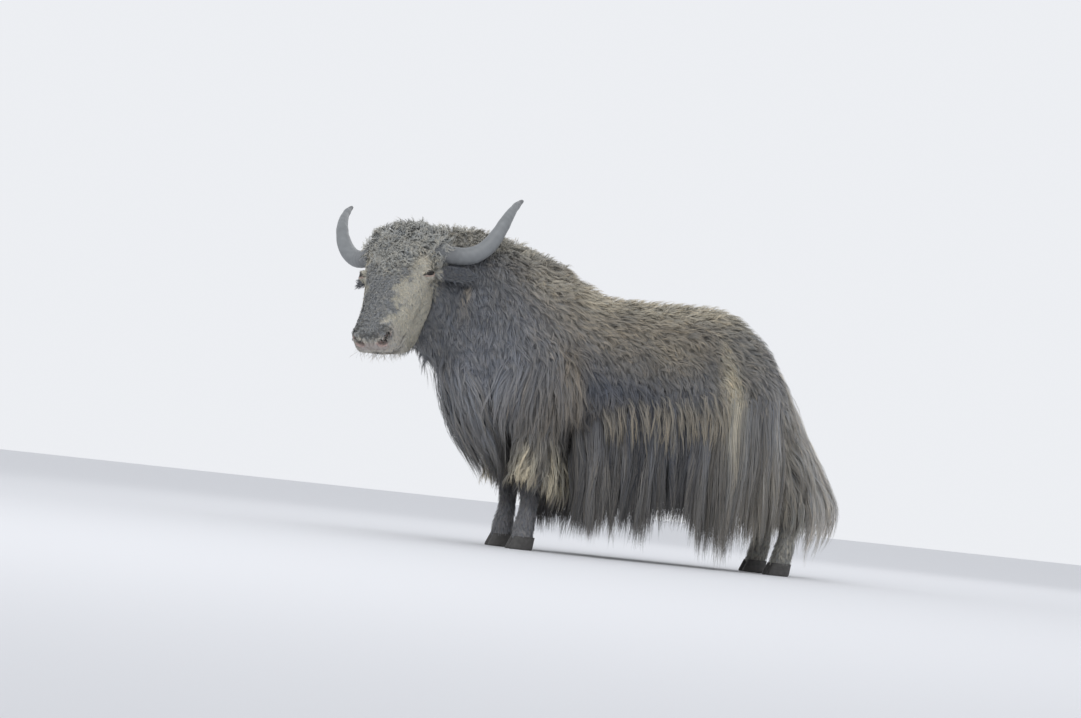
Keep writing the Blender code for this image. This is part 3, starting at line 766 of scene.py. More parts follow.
class Markings:
    """The animal's pattern, with some painted shade on the face, the same function for its skin and its coat.
    """

    BASE = "7c7a77"
    BODY = (
        Spot((-1.00, 1.00), (0.30, 0.35), "777b82", 0.9),
        Spot((-1.003, 1.010), (0.024, 0.080), "aba294", 0.85),
        Spot((-0.62, 0.80), (0.25, 0.30), "8d8d8f", 0.8),
        Spot((-0.62, 1.14), (0.16, 0.09), "bdb7aa", 0.8),
        Spot((-0.45, 1.02), (0.14, 0.10), "b2ab9d", 0.7),
        Spot((-0.15, 0.95), (0.32, 0.12), "a79f90", 0.8),
        Spot((-0.30, 0.66), (0.30, 0.13), "5b606b", 0.95),
        Spot((0.08, 0.70), (0.20, 0.14), "7e7f82", 0.6),
        Spot((0.32, 0.98), (0.16, 0.14), "94928c", 0.8),
        Spot((0.45, 0.75), (0.12, 0.22), "9c9c9e", 0.8),
        Spot((-0.53, 0.72), (0.05, 0.16), "938a7c", 0.8),
        Spot((-0.26, 0.27), (0.50, 0.22), "262b36", 1.0),
        Spot((-0.37, 0.30), (0.14, 0.17), "1b1e25", 0.75),
        Spot((-0.05, 0.53), (0.44, 0.065), "7d7567", 0.6),
        Spot((0.32, 0.33), (0.12, 0.18), "8a857b", 0.85),
        Spot((0.50, 0.42), (0.15, 0.26), "a19d96", 0.85),
        Spot((-0.86, 0.62), (0.14, 0.22), "9599a2", 0.9),
        Spot((-0.60, 0.50), (0.20, 0.10), "75706a", 0.7),
    )
    CUFFS = (((-0.705, 0.262), (0.042, 0.070)), ((-0.515, 0.225), (0.080, 0.080)))
    PASTERN = (0.142, -0.612)
    CUFF = "d4ccb6"
    BACK = "c6bfae"
    HUMP = "b6b3a9"
    STRIPE = "c8c0ac"
    STRIPE_LINE = ((0.165, 1.00), (0.185, 0.84), (0.215, 0.70), (0.235, 0.52), (0.300, 0.40), (0.36, 0.25))
    LEG = "85868a"
    HIND_LEG = "a3a29c"
    TAIL = "bdbbb8"
    FRINGE = "928b7d"
    FACE = "bbb7aa"
    CURLS = "aaaba8"
    RIM = "cbc6b8"
    BRIDGE = "8f9192"
    MUZZLE = "bcb8b1"
    PAD = "a79f9a"
    # painted shade: the dark colour laid along the mouth's groove
    MOUTH_SHADE = "34302f"
    DARK_NOSE = "5a5b5a"
    NOSTRIL_RIM = "b59c96"
    # painted shade: near-black laid deep in the nostrils' pits and along the mouth's groove
    NOSTRIL = "2a2a2c"
    # the dark upper lid rim, with painted shade from the brow laid over the skin above it
    UPPER_LID_AND_SHADE = "2e2c2b"
    LOWER_LID = "94776f"
    EAR = "64676c"
    THROAT = "74777c"

    def body(self, points: Array) -> Array:
        """Colour of the body's coat: the base, with each spot mixed in by its hill of strength."""
        aside, y, z = np.abs(points[:, 0]), points[:, 1], points[:, 2]
        colour = np.broadcast_to(linear(self.BASE), points.shape).copy()
        side = points[:, 1:]
        warp = 0.03 * np.stack([ripple(points, 0.35, 5), ripple(points, 0.30, 6)], axis=-1)
        for spot in self.BODY:
            colour = self.mix(colour, spot.colour, spot.strength * hill(side + warp, spot.middle, spot.reach))
        back = smoothstep(0.98, 1.10, z + 0.3 * warp[:, 0]) * smoothstep(-0.62, -0.36, y)
        back = back * (1 - smoothstep(0.25, 0.42, y))
        colour = self.mix(colour, self.BACK, 0.9 * back)
        hump = smoothstep(1.17, 1.27, z) * (1.0 - smoothstep(-0.55, -0.35, y))
        colour = self.mix(colour, self.HUMP, 0.8 * hump)
        line = np.array(self.STRIPE_LINE)
        at = through(-line[:, 1], line[:, :1], -z)[:, 0]
        width = 0.010 + 0.046 * bell(z, 0.74, 0.15) + 0.060 * smoothstep(0.52, 0.30, z)
        stripe = bell(y - at + 0.3 * warp[:, 0], 0.0, width) * smoothstep(0.12, 0.3, z)
        stripe *= (1.0 - smoothstep(0.96, 1.03, z)) * smoothstep(0.02, 0.12, aside)
        colour = self.mix(colour, self.STRIPE, 0.85 * stripe)
        shin = (1.0 - smoothstep(0.13, 0.24, z)) * (1.0 - smoothstep(0.20, 0.26, aside))
        colour = self.mix(colour, self.LEG, 0.8 * shin * (y < 0.0))
        colour = self.mix(colour, self.HIND_LEG, 0.9 * shin * (y > 0.0) * (1.0 - smoothstep(0.64, 0.70, y)))
        within = smoothstep(0.11, 0.15, aside) * (1.0 - smoothstep(0.27, 0.30, aside))
        from_leg = np.hypot(aside - self.PASTERN[0], y - self.PASTERN[1])
        within = within * smoothstep(0.045, 0.075, from_leg)
        for middle, reach in self.CUFFS:
            colour = self.mix(colour, self.CUFF, 0.9 * within * hill(side + 0.5 * warp, middle, reach))
        return colour

    def ends(self, roots: Array, tips: Array) -> Array:
        """Colour of the body's coat at the root and at the tip of each lock."""
        return np.stack([self.body(roots), self.body(tips)], axis=1)

    def head(self, q: Array) -> Array:
        """Colour of the head's coat at places of the head's frame."""
        signed = q[:, 0]
        q = folded(q)
        wave, forehead = self.waves(q)
        colour = np.broadcast_to(linear(self.FACE), q.shape).copy()
        shadow = ripple(q * (1.0, 0.45, 1.0), 0.030, 12) + 0.5 * wave - 0.25
        colour = self.mix(colour, self.BRIDGE, 0.3 * smoothstep(0.2, 1.2, shadow))
        colour = self.mix(colour, self.MUZZLE, 0.7 * (1.0 - smoothstep(-0.54, -0.48, q[:, 1])))
        colour = self.mix(colour, self.THROAT, self.throat(q, wave))
        colour = self.mix(colour, self.CURLS, forehead)
        colour = self.mix(colour, self.BRIDGE, self.bridge(q, wave, signed) * (1.0 - forehead))
        colour = self.mix(colour, self.RIM, 0.7 * self.rim(q, wave))
        ragged = 0.4 * ripple(q, 0.016, 14)
        dark = smoothstep(0.35, 0.75, self.above_nostril(q) + ragged)
        colour = self.mix(colour, self.DARK_NOSE, 0.75 * dark)
        colour = self.mix(colour, self.PAD, self.pad(q))
        # Painted shade along the groove of the mouth.
        gap = HeadSkin().mouth(q, 0.0050) * smoothstep(-0.470, -0.495, q[:, 1])
        colour = self.mix(colour, self.MOUTH_SHADE, 0.9 * gap)
        low = np.maximum(smoothstep(-0.085, -0.100, q[:, 1]), smoothstep(0.180, 0.195, q[:, 0]))
        on_ear = smoothstep(0.150, 0.165, q[:, 0]) * smoothstep(-0.12, -0.15, q[:, 2]) * low
        return self.mix(colour, self.EAR, on_ear)

    def waves(self, q: Array) -> tuple[Array, Array]:
        """The wave in the edges of the head's markings, and how much of each place is forehead."""
        wave = ripple(q, 0.05, 11)
        return wave, self.forehead(q, wave)

    @staticmethod
    def throat(q: Array, wave: Array) -> Array:
        """One where the dark hair of the throat starts, behind the jaw."""
        edge = -0.185 - 0.108 * smoothstep(-0.20, -0.36, q[:, 1]) - 0.040 * smoothstep(-0.42, -0.47, q[:, 1])
        return 1.0 - smoothstep(edge - 0.018, edge + 0.008, q[:, 2] + 0.008 * wave)

    @staticmethod
    def forehead(q: Array, wave: Array) -> Array:
        """One over the poll and forehead, lowest in the middle, and round the eye to the temple."""
        edge = -0.196 - 0.080 * bell(q[:, 0], 0.0, 0.060)
        low = smoothstep(edge - 0.022, edge + 0.022, q[:, 1] + 0.016 * wave + 0.008 * ripple(q, 0.02, 16))
        temple = smoothstep(-0.215, -0.165, q[:, 2])
        eye = hill(q, (0.130, -0.208, -0.060), (0.048, 0.066, 0.048))
        return low * temple * (1.0 - smoothstep(0.12, 0.40, eye))

    @staticmethod
    def rim(q: Array, wave: Array) -> Array:
        """One on the brow, and along the helmet of curls behind it, where that ends against the neck."""
        behind = smoothstep(-0.135, -0.165, q[:, 2] + 0.008 * wave) * smoothstep(0.100, 0.125, q[:, 0])
        brow = hill(q, (0.136, -0.165, -0.070), (0.034, 0.046, 0.046))
        helmet = behind * smoothstep(-0.235, -0.205, q[:, 1])
        return np.maximum(helmet, smoothstep(0.12, 0.45, brow + 0.12 * wave))

    @staticmethod
    def above_nostril(q: Array) -> Array:
        """One on the dark hair above and outside each nostril."""
        outer = hill(q, (0.070, -0.552, -0.030), (0.036, 0.026, 0.036))
        return np.maximum(outer, hill(q, (0.020, -0.575, -0.035), (0.030, 0.024, 0.030)))

    @staticmethod
    def bridge(q: Array, wave: Array, signed: Array) -> Array:
        """One along the nose down to the nostrils, ragged, wider in places and round its right side."""
        x, y, z = q.T
        x = x - 0.034 * smoothstep(0.0, -0.05, signed)
        width = 0.056 + 0.030 * bell(y, -0.425, 0.030) + 0.022 * bell(y, -0.560, 0.022)
        width = width + 0.026 * smoothstep(-0.29, -0.21, y) + 0.026 * bell(y, -0.252, 0.026)
        ragged = 0.012 * wave + 0.012 * ripple(q * (1.0, 0.5, 1.0), 0.026, 13)
        across = 1.0 - smoothstep(width - 0.014, width + 0.014, x + ragged)
        across = across * smoothstep(-0.592, -0.572, y) * smoothstep(-0.072, -0.050, z)
        return across * smoothstep(-0.16, -0.20, y)

    @staticmethod
    def pad(q: Array) -> Array:
        """One on the bare band round and between the nostrils."""
        band = hill(q, (0.030, -0.600, -0.078), (0.055, 0.040, 0.026))
        return smoothstep(0.30, 0.60, band)

    @staticmethod
    def mix(colour: Array, other: str, amount: Array) -> Array:
        """colour (1 - a) + other a."""
        a = np.clip(amount, 0.0, 1.0)[:, None]
        return colour * (1.0 - a) + linear(other) * a


# The coat: locks of flat tapering strands over the skin


@dataclass(frozen=True)
class Hair:
    """One kind of hair. Lengths are in metres.

    Attributes:
        shortest: Length of the shortest locks.
        longest: Length of the longest locks.
        height: How far above the skin its outer layer lies.
        spread: Radius of a lock at its root.
        width: Widest place of one strand.
        strands: Strands in each lock.
        steps: Straight stretches along a strand.
        gather: How far the strands meet at the lock's tip, from 0 to 1.
        droop: How far the tips turn down.
        hold: How closely the hair keeps to its height over the skin.
        wander: How far locks stray from the lie of the coat.
        curl: Radius of the curls.
        turns: Turns of the curls along a strand.
        fade: How soon along its length a lock takes the colour of its tip.
        root_shade: Brightness at the root, darker partly for the hair's own dark roots and partly as painted
            shade deep in the coat.
        tip_shade: Brightness at the tip.
    """

    shortest: float = 0.048
    longest: float = 0.078
    height: float = 0.034
    spread: float = 0.013
    width: float = 0.0030
    strands: int = 6
    steps: int = 3
    gather: float = 0.42
    droop: float = 0.15
    hold: float = 0.85
    wander: float = 0.28
    curl: float = 0.0
    turns: float = 0.0
    fade: float = 1.0
    root_shade: float = 0.84
    tip_shade: float = 1.04


@dataclass
class Paths:
    """The middle lines of locks.

    Attributes:
        line: Points along each lock, root first.
        out: Outward directions at those points.
        place: Where each root lies on an unwrap of the skin.
        colour: Colour of each lock at its root and at its tip.
    """

    line: Array
    out: Array
    place: Array
    colour: Array


@dataclass
class Strands:
    """Finished strands as arrays: points, triangles, colours and unwrapped places."""

    points: Array
    triangles: Array
    colours: Array
    places: Array
    patch: Array


def scatter(shape: Shape, chance: Array, per_area: float, seed: int) -> tuple[Array, Array]:
    """Places spread evenly over a shape.

    Args:
        shape: The skin.
        chance: Relative density at each of its points, from 0 to 1.
        per_area: Places for each square metre where the chance is one.
        seed: Seed of the draws.

    Returns:
        Places and their outward directions: one draw in each equal step of the summed area.
    """
    rng = np.random.default_rng(seed)
    corners = shape.triangles()
    p = shape.points[corners]
    area = 0.5 * np.linalg.norm(np.cross(p[:, 1] - p[:, 0], p[:, 2] - p[:, 0]), axis=1)
    total = np.cumsum(area * chance[corners].mean(axis=1))
    count = max(1, int(total[-1] * per_area))
    at = (np.arange(count) + rng.uniform(0.0, 1.0, count)) / count * total[-1]
    pick = corners[np.clip(np.searchsorted(total, at), 0, len(corners) - 1)]
    r1, r2 = np.sqrt(rng.uniform(0.0, 1.0, count)), rng.uniform(0.0, 1.0, count)
    weights = np.stack([1 - r1, r1 * (1 - r2), r1 * r2], axis=-1)[..., None]
    normals = shape.normals()
    return (shape.points[pick] * weights).sum(axis=1), unit((normals[pick] * weights).sum(axis=1))


def comb(
    hair: Hair,
    root: Array,
    normal: Array,
    flow: Flow,
    seed: int,
    field: Optional[Distance] = None,
    scale: Optional[Array] = None,
) -> tuple[Array, Array]:
    """Grows the middle line of each lock over the skin.

    Args:
        hair: The kind of hair.
        root: Roots.
        normal: Outward directions at the roots.
        flow: The lie of the coat at places, given their outward directions.
        seed: Seed of the draws.
        field: Distance to the skin, for hair long enough to follow it round a bend.
        scale: Length of each lock, as a share of what the kind of hair gives.

    Returns:
        Points of each line and the outward directions there. Each step runs along
        flow (1 - droop t) + down droop t, and the height rises as h (1 - (1 - t)^2).
    """
    rng = np.random.default_rng(seed)
    count = len(root)
    scale = np.ones(count) if scale is None else scale
    length = rng.uniform(hair.shortest, hair.longest, count) * scale
    height = hair.height * np.sqrt(rng.uniform(0.08, 1.0, count)) * np.clip(scale, 0.3, 2.0) ** 0.7
    stray = rng.normal(size=(count, 3)) * hair.wander
    stray += 1.1 * hair.wander * np.stack([ripple(root, 0.09, seed + k) for k in range(3)], axis=-1)
    place, out = root.copy(), normal.copy()
    line, outs = [place], [out]
    for k in range(hair.steps):
        t0, t1 = k / hair.steps, (k + 1) / hair.steps
        if field is not None and k:
            out = unit(field.normal(place) + 0.25 * normal)
        lie = flow(place, out) + stray
        lie = unit(lie - dot(lie, out) * out)
        ahead = unit(lie * (1.0 - hair.droop * t1) + DOWN * hair.droop * t1)
        rise = height * ((1 - t0) ** 2 - (1 - t1) ** 2)
        flat = np.sqrt(np.maximum((length / hair.steps) ** 2 - rise**2, (0.2 * length / hair.steps) ** 2))
        place = place + ahead * flat[:, None] + out * rise[:, None]
        if field is not None:
            lack = height * (1.0 - (1.0 - t1) ** 2) - field.value(place)
            push = np.where(lack > 0, lack, lack * hair.hold * 0.5)
            place = place + out * np.clip(push, -0.02, 0.03)[:, None]
        line.append(place)
        outs.append(out)
    return np.stack(line, axis=1), np.stack(outs, axis=1)


def weave(hair: Hair, paths: Paths, seed: int) -> Strands:
    """Turns the lines of locks into flat tapering strands.

    Each strand keeps a place in its lock, drawn in toward the tip by 1 - gather t^1.4, coils by its curl,
    and lies with its flat side out. At the share t of its length its half width is
    w (1 - t)^0.7 (0.55 + 0.9 t).
    """
    rng = np.random.default_rng(seed)
    locks, nodes = paths.line.shape[:2]
    c, k = hair.strands, hair.steps
    size = 2 * k + 1
    share = rng.uniform(0.68, 1.0, (locks, c))
    t = np.linspace(0.0, 1.0, k + 1)
    at = share[..., None] * t * (nodes - 1)
    low = np.clip(at.astype(int), 0, nodes - 2)
    f = (at - low)[..., None]
    which = np.arange(locks)[:, None, None]
    line = paths.line[which, low] * (1 - f) + paths.line[which, low + 1] * f
    out = unit(paths.out[which, low] * (1 - f) + paths.out[which, low + 1] * f)
    run = unit(np.gradient(line, axis=2))
    side = unit(np.cross(run, out))
    angle = rng.uniform(0.0, 2 * math.pi, (locks, c, 1))
    far = hair.spread * np.sqrt(rng.uniform(0.0, 1.0, (locks, c, 1))) * rng.uniform(0.75, 1.25, (locks, 1, 1))
    drawn = 1.0 - hair.gather * t[None, None] ** 1.4
    sideways = far * np.cos(angle)
    line = line + side * (sideways * drawn)[..., None] + out * (0.35 * far * np.sin(angle) * drawn)[..., None]
    if hair.curl > 0.0:
        start = rng.uniform(0.0, 2 * math.pi, (locks, 1, 1)) + rng.normal(0.0, 0.35, (locks, c, 1))
        spin = start + 2 * math.pi * hair.turns * t[None, None] * rng.choice((-1.0, 1.0), (locks, 1, 1))
        coil = hair.curl * np.minimum(1.0, 2.5 * t)[None, None] * rng.uniform(0.6, 1.3, (locks, 1, 1))
        line = line + side * (coil * np.cos(spin))[..., None] + out * (0.7 * coil * np.sin(spin))[..., None]
    run = unit(np.gradient(line, axis=2))
    face = out + side * (0.60 * sideways / hair.spread + rng.normal(0.0, 0.14, (locks, c, 1)))[..., None]
    face = unit(face - dot(face, run) * run)
    across = np.cross(run, face)
    half = 0.5 * hair.width * rng.uniform(0.7, 1.2, (locks, c, 1)) * (1 - t) ** 0.7 * (0.55 + 0.9 * t)
    left, right = line - across * half[..., None], line + across * half[..., None]
    both = np.stack([left[:, :, :-1], right[:, :, :-1]], axis=3).reshape(locks, c, 2 * k, 3)
    points = np.concatenate([both, line[:, :, -1:]], axis=2)
    faded = np.minimum(1.0, hair.fade * t)[None, None, :, None]
    tone = paths.colour[:, None, None, 0] * (1 - faded) + paths.colour[:, None, None, 1] * faded
    # Darker toward the root: partly the hair's own colour, partly painted shade deep in the coat.
    shade = hair.root_shade + (hair.tip_shade - hair.root_shade) * smoothstep(0.0, 0.75, t)
    tint = rng.normal(0.0, 0.055, (locks, 1, 1, 1)) + rng.normal(0.0, 0.06, (locks, c, 1, 1))
    tint = np.exp(tint * np.array(BRIGHT_WARMTH))
    warmth = 1.0 + (t[:, None] - 0.45) * np.array(TIP_WARMTH)
    tone = tone * shade[None, None, :, None] * tint * warmth[None, None]
    colours = np.concatenate([np.repeat(tone[:, :, :-1], 2, axis=2), tone[:, :, -1:]], axis=2)
    one = 2 * np.arange(k - 1)[:, None]
    ladder = np.concatenate([one + (0, 1, 3), one + (0, 3, 2), [[2 * k - 2, 2 * k - 1, 2 * k]]])
    starts = np.arange(locks * c)[:, None, None] * size
    rungs = np.concatenate([np.repeat(t[:-1], 2), [1.0]])
    edge = np.concatenate([np.tile((0.0, 1.0), k), [0.5]])
    patch = np.stack([np.broadcast_to(edge, (c, size)), np.broadcast_to(rungs, (c, size))], axis=-1).copy()
    patch[..., 0] = (np.arange(c)[:, None] + patch[..., 0]) / c
    return Strands(
        points.reshape(-1, 3),
        (ladder[None] + starts).reshape(-1, 3),
        colours.reshape(-1, 3),
        np.repeat(paths.place, c * size, axis=0),
        np.tile(patch.reshape(-1, 2), (locks, 1)),
    )


class CoatPiece:
    """One mesh of the coat, made of several layers of strands."""

    def __init__(self, name: str) -> None:
        self.name = name
        self.layers: list[Strands] = []

    def add(self, hair: Hair, paths: Paths, seed: int) -> "CoatPiece":
        """Adds a layer of locks."""
        if len(paths.line):
            self.layers.append(weave(hair, paths, seed))
        return self

    def build(self, frame: Frame, material: Material) -> Object:
        """Joins the layers, each in its own band of the bake map, with one small patch for each lock."""
        count, triangles, maps = 0, [], []
        for band, layer in enumerate(self.layers):
            triangles.append(layer.triangles + count)
            count += len(layer.points)
            low, high = layer.places.min(axis=0), layer.places.max(axis=0)
            place = (layer.places - low) / np.maximum(high - low, 1e-6)
            size = np.array((1.0 / len(self.layers), 1.0))
            corner = np.array((band / len(self.layers), 0.0))
            maps.append(corner + 0.01 * size + place * (0.98 * size - BAKE_PATCH) + layer.patch * BAKE_PATCH)
        points = np.concatenate([layer.points for layer in self.layers])
        points[:, 2] = np.maximum(points[:, 2], LOWEST_TIP)
        corners = np.concatenate(triangles)
        obj = frame.place(self.name, Shape(points, [corners]), material)
        paint_points(obj.data, np.concatenate([layer.colours for layer in self.layers]))
        unwrap = obj.data.uv_layers.new(name=BAKE_MAP)
        unwrap.data.foreach_set("uv", np.concatenate(maps)[corners.ravel()].astype(np.float32).ravel())
        LOG.info("%s: %d triangles", self.name, len(corners))
        return obj


@dataclass(frozen=True)
class Tassels:
    """Bunches of long locks that draw together as they fall and end in one point.

    Attributes:
        pitch: Distance between the bunches.
        pull: How far a lock has moved to its bunch's middle at its tip, from 0 to 1.
        uneven: How much the bunches differ in length.
        point: How much shorter the locks at a bunch's edge are.
    """

    pitch: float
    pull: float = 0.55
    uneven: float = 0.022
    point: float = 0.060

    def gather(self, along: Array, deep: Array, seed: int) -> tuple[Array, Array]:
        """Signed distance from each lock to its bunch's middle, and how much sooner the lock ends.

        Args:
            along: Place of each lock along the hem.
            deep: Layer of each lock, from 0 inside to 1 outside. Each of three layers has bunches of its own.
            seed: Seed of the draws.
        """
        row = np.clip((deep * 3.0).astype(int), 0, 2)
        slot = np.floor(along / self.pitch + row / 3.0).astype(int)
        rng = np.random.default_rng(seed)
        table = rng.uniform(-1.0, 1.0, (2, 997))
        key = (slot * 7 + row * 331) % 997
        middle = (slot - row / 3.0 + 0.5 + 0.30 * table[0, key]) * self.pitch
        away = along - middle
        return away, self.uneven * table[1, key] + self.point * np.abs(away) / self.pitch


@dataclass(frozen=True)
class Brush:
    """Long hair that hangs round a line, out to a given form.

    Attributes:
        rows: Height, x, y, half width and half depth of the outer form, from the top down.
        core: Where the roots sit, as a share of the half sizes.
        roots: Lowest and highest root.
        reach: Shortest and longest fall from root to tip.
        hem: Lowest tips, as a height for each place along the body.
        bunches: How the locks draw together.
        tone: Colour, or None for the body's markings.
    """

    rows: Array
    core: float
    roots: tuple
    reach: tuple
    hem: Callable[[Array], Array]
    bunches: Tassels = Tassels(0.045)
    tone: Optional[str] = None

    def paths(self, count: int, side: float, steps: int, markings: Markings, seed: int) -> Paths:
        """Locks that leave the core, swell out to their layer of the form, and hang to the hem."""
        rng = np.random.default_rng(seed)
        z0 = rng.uniform(*self.roots, count)
        theta = rng.uniform(0.0, 2 * math.pi, count)
        layer = np.sqrt(rng.uniform(0.25, 1.0, count))
        fall = rng.uniform(*self.reach, count)
        t = np.linspace(0.0, 1.0, steps + 1)[None]
        rows = self.rows
        first = through(-rows[:, 0], rows[:, 1:], -np.maximum(z0 - fall, rows[-1, 0]))
        girth = 0.5 * (first[:, 2] + first[:, 3])
        away, sooner = self.bunches.gather(theta * girth, layer, seed + 7)
        tip = np.maximum(z0 - fall, self.hem(first[:, 1] + first[:, 3] * np.sin(theta) * layer))
        tip = np.minimum(tip + sooner + rng.exponential(0.012, count), z0 - 0.03)
        z = z0[:, None] + (tip - z0)[:, None] * t
        form = through(-rows[:, 0], rows[:, 1:], -z.ravel()).reshape(count, steps + 1, 4)
        out = self.core + (layer[:, None] - self.core) * smoothstep(0.0, 0.45, t)
        sway = 0.10 * ripple(np.stack([theta, z0 * 4, layer], axis=-1), 2.0, seed)[:, None] * t**2
        angle = theta[:, None] + sway - self.bunches.pull * (away / girth)[:, None] * t**1.6
        x = side * (form[..., 0] + form[..., 2] * out * np.cos(angle))
        y = form[..., 1] + form[..., 3] * out * np.sin(angle)
        line = np.stack([x, y, z], axis=-1)
        across, along = side * np.cos(angle) / form[..., 2], np.sin(angle) / form[..., 3]
        facing = np.stack([across, along, np.full_like(angle, 0.5)], axis=-1)
        colour = markings.ends(line[:, 0], line[:, -1])
        if self.tone:
            colour = 0.15 * colour + 0.85 * linear(self.tone)
        streak = np.clip(1.0 + 0.22 * ripple(line[:, 0], 0.05, seed + 5), 0.65, 1.6)
        return Paths(line, unit(facing), np.stack([theta, z0], axis=-1), colour * streak[:, None, None])


# Place along the body and height of each skirt's lower edge: both fronts, the near back, and the far back
FRONT_EDGE = (
    (-0.52, 0.100), (-0.42, 0.090), (-0.34, 0.098), (-0.27, 0.100), (-0.20, 0.092), (-0.14, 0.080),
    (-0.11, 0.130),
)
NEAR_EDGE = (
    *FRONT_EDGE, (-0.08, 0.180), (-0.04, 0.192), (0.01, 0.190), (0.06, 0.150), (0.10, 0.074), (0.15, 0.040),
    (0.21, 0.030), (0.25, 0.070), (0.30, 0.105), (0.40, 0.130), (0.50, 0.150),
)
FAR_EDGE = (*FRONT_EDGE, (-0.06, 0.185), (0.08, 0.185), (0.22, 0.185), (0.32, 0.150), (0.50, 0.140))


@dataclass(frozen=True)
class Skirt:
    """The long curtain of hair along each flank, from its outer face to its inner one."""

    front: float = -0.478
    back: float = 0.480
    outside: float = 0.346
    inside: float = 0.258
    hem_thickness: float = 0.042
    top: float = 0.68
    edge: tuple = NEAR_EDGE
    bunches: Tassels = Tassels(0.050, 0.60, 0.026, 0.085)

    def hem(self, y: Array) -> Array:
        """Lower edge: a smooth curve through the rows of place and height."""
        rows = np.array(self.edge)
        return through(rows[:, 0], rows[:, 1:], np.ravel(y))[:, 0].reshape(np.shape(y))

    def faces(self, y: Array, z: Array, hem: Array) -> tuple[Array, Array]:
        """Outer and inner face: straight above the knee, closing to the hem's thickness below."""
        outer = self.outside - 0.050 * np.maximum(0.0, -y - 0.1) - 0.12 * np.maximum(0.0, y - 0.15)
        outer = outer - 0.045 * smoothstep(0.54, 0.68, z) - 0.012 * smoothstep(0.42, 0.0, z - hem)
        thick = self.outside - self.inside
        thick = thick + (self.hem_thickness - thick) * (1.0 - smoothstep(0.0, 0.30, z - hem))
        return outer, outer - thick

    def paths(
        self, count: int, side: float, steps: int, body: BodySkin, markings: Markings, seed: int
    ) -> Paths:
        """Locks rooted on the lower flank that hang to the hem, the outer ones from higher up."""
        rng = np.random.default_rng(seed)
        y0 = rng.uniform(self.front + 0.01, self.back - 0.01, count)
        layer = rng.uniform(0.0, 1.0, count) ** 0.7
        line_top = 0.47 + 0.19 * smoothstep(-0.50, 0.10, y0)
        z0 = line_top - 0.06 + 0.10 * layer + rng.uniform(-0.05, 0.08, count)
        rows = through(body.TRUNK[:, 0], body.TRUNK[:, 1:], y0)
        top, widest, bottom, half = rows.T[:4]
        reach = np.where(z0 > widest, top - widest, widest - bottom)
        rise = np.clip((z0 - widest) / reach, -1, 1)
        skin = half * np.sqrt(1.0 - rise**2) ** 0.86
        skin = np.clip(skin, 0.20, 0.35) + 0.026 * layer
        t = np.linspace(0.0, 1.0, steps + 1)[None]
        away, sooner = self.bunches.gather(y0, layer, seed + 3)
        tip = self.hem(y0 - away) + sooner + rng.exponential(0.026, count) - 0.056
        tip = np.minimum(tip, z0 - 0.08)
        z = z0[:, None] + (tip - z0)[:, None] * t
        sway = 0.026 * ripple(np.stack([y0, layer * 0.3, z0], axis=-1), 0.20, seed + 4)[:, None]
        bend = np.sin(7.0 * t + 25.0 * y0[:, None] + 5.0 * layer[:, None])
        y = y0[:, None] + sway * t**1.5 + 0.009 * bend * t
        y = y - self.bunches.pull * away[:, None] * t**1.6
        outer, inner = self.faces(y, z, self.hem(y))
        hang = inner + (outer - inner) * layer[:, None]
        x = skin[:, None] + (hang - skin[:, None]) * smoothstep(0.0, 0.40, t)
        line = np.stack([side * x, y, z], axis=-1)
        facing = np.stack([np.full_like(x, side), 0.25 * np.cos(40.0 * y), np.full_like(x, 0.25)], axis=-1)
        colour = markings.ends(line[:, 0], line[:, -1])
        streak = np.clip(1.0 + 0.35 * ripple(line[:, 0] * (1.0, 1.0, 0.2), 0.06, seed + 5), 0.6, 1.8)
        return Paths(line, unit(facing), np.stack([y0, z0], axis=-1), colour * streak[:, None, None])


class Side(Enum):
    """The animal's two sides."""

    LEFT = 1.0
    RIGHT = -1.0


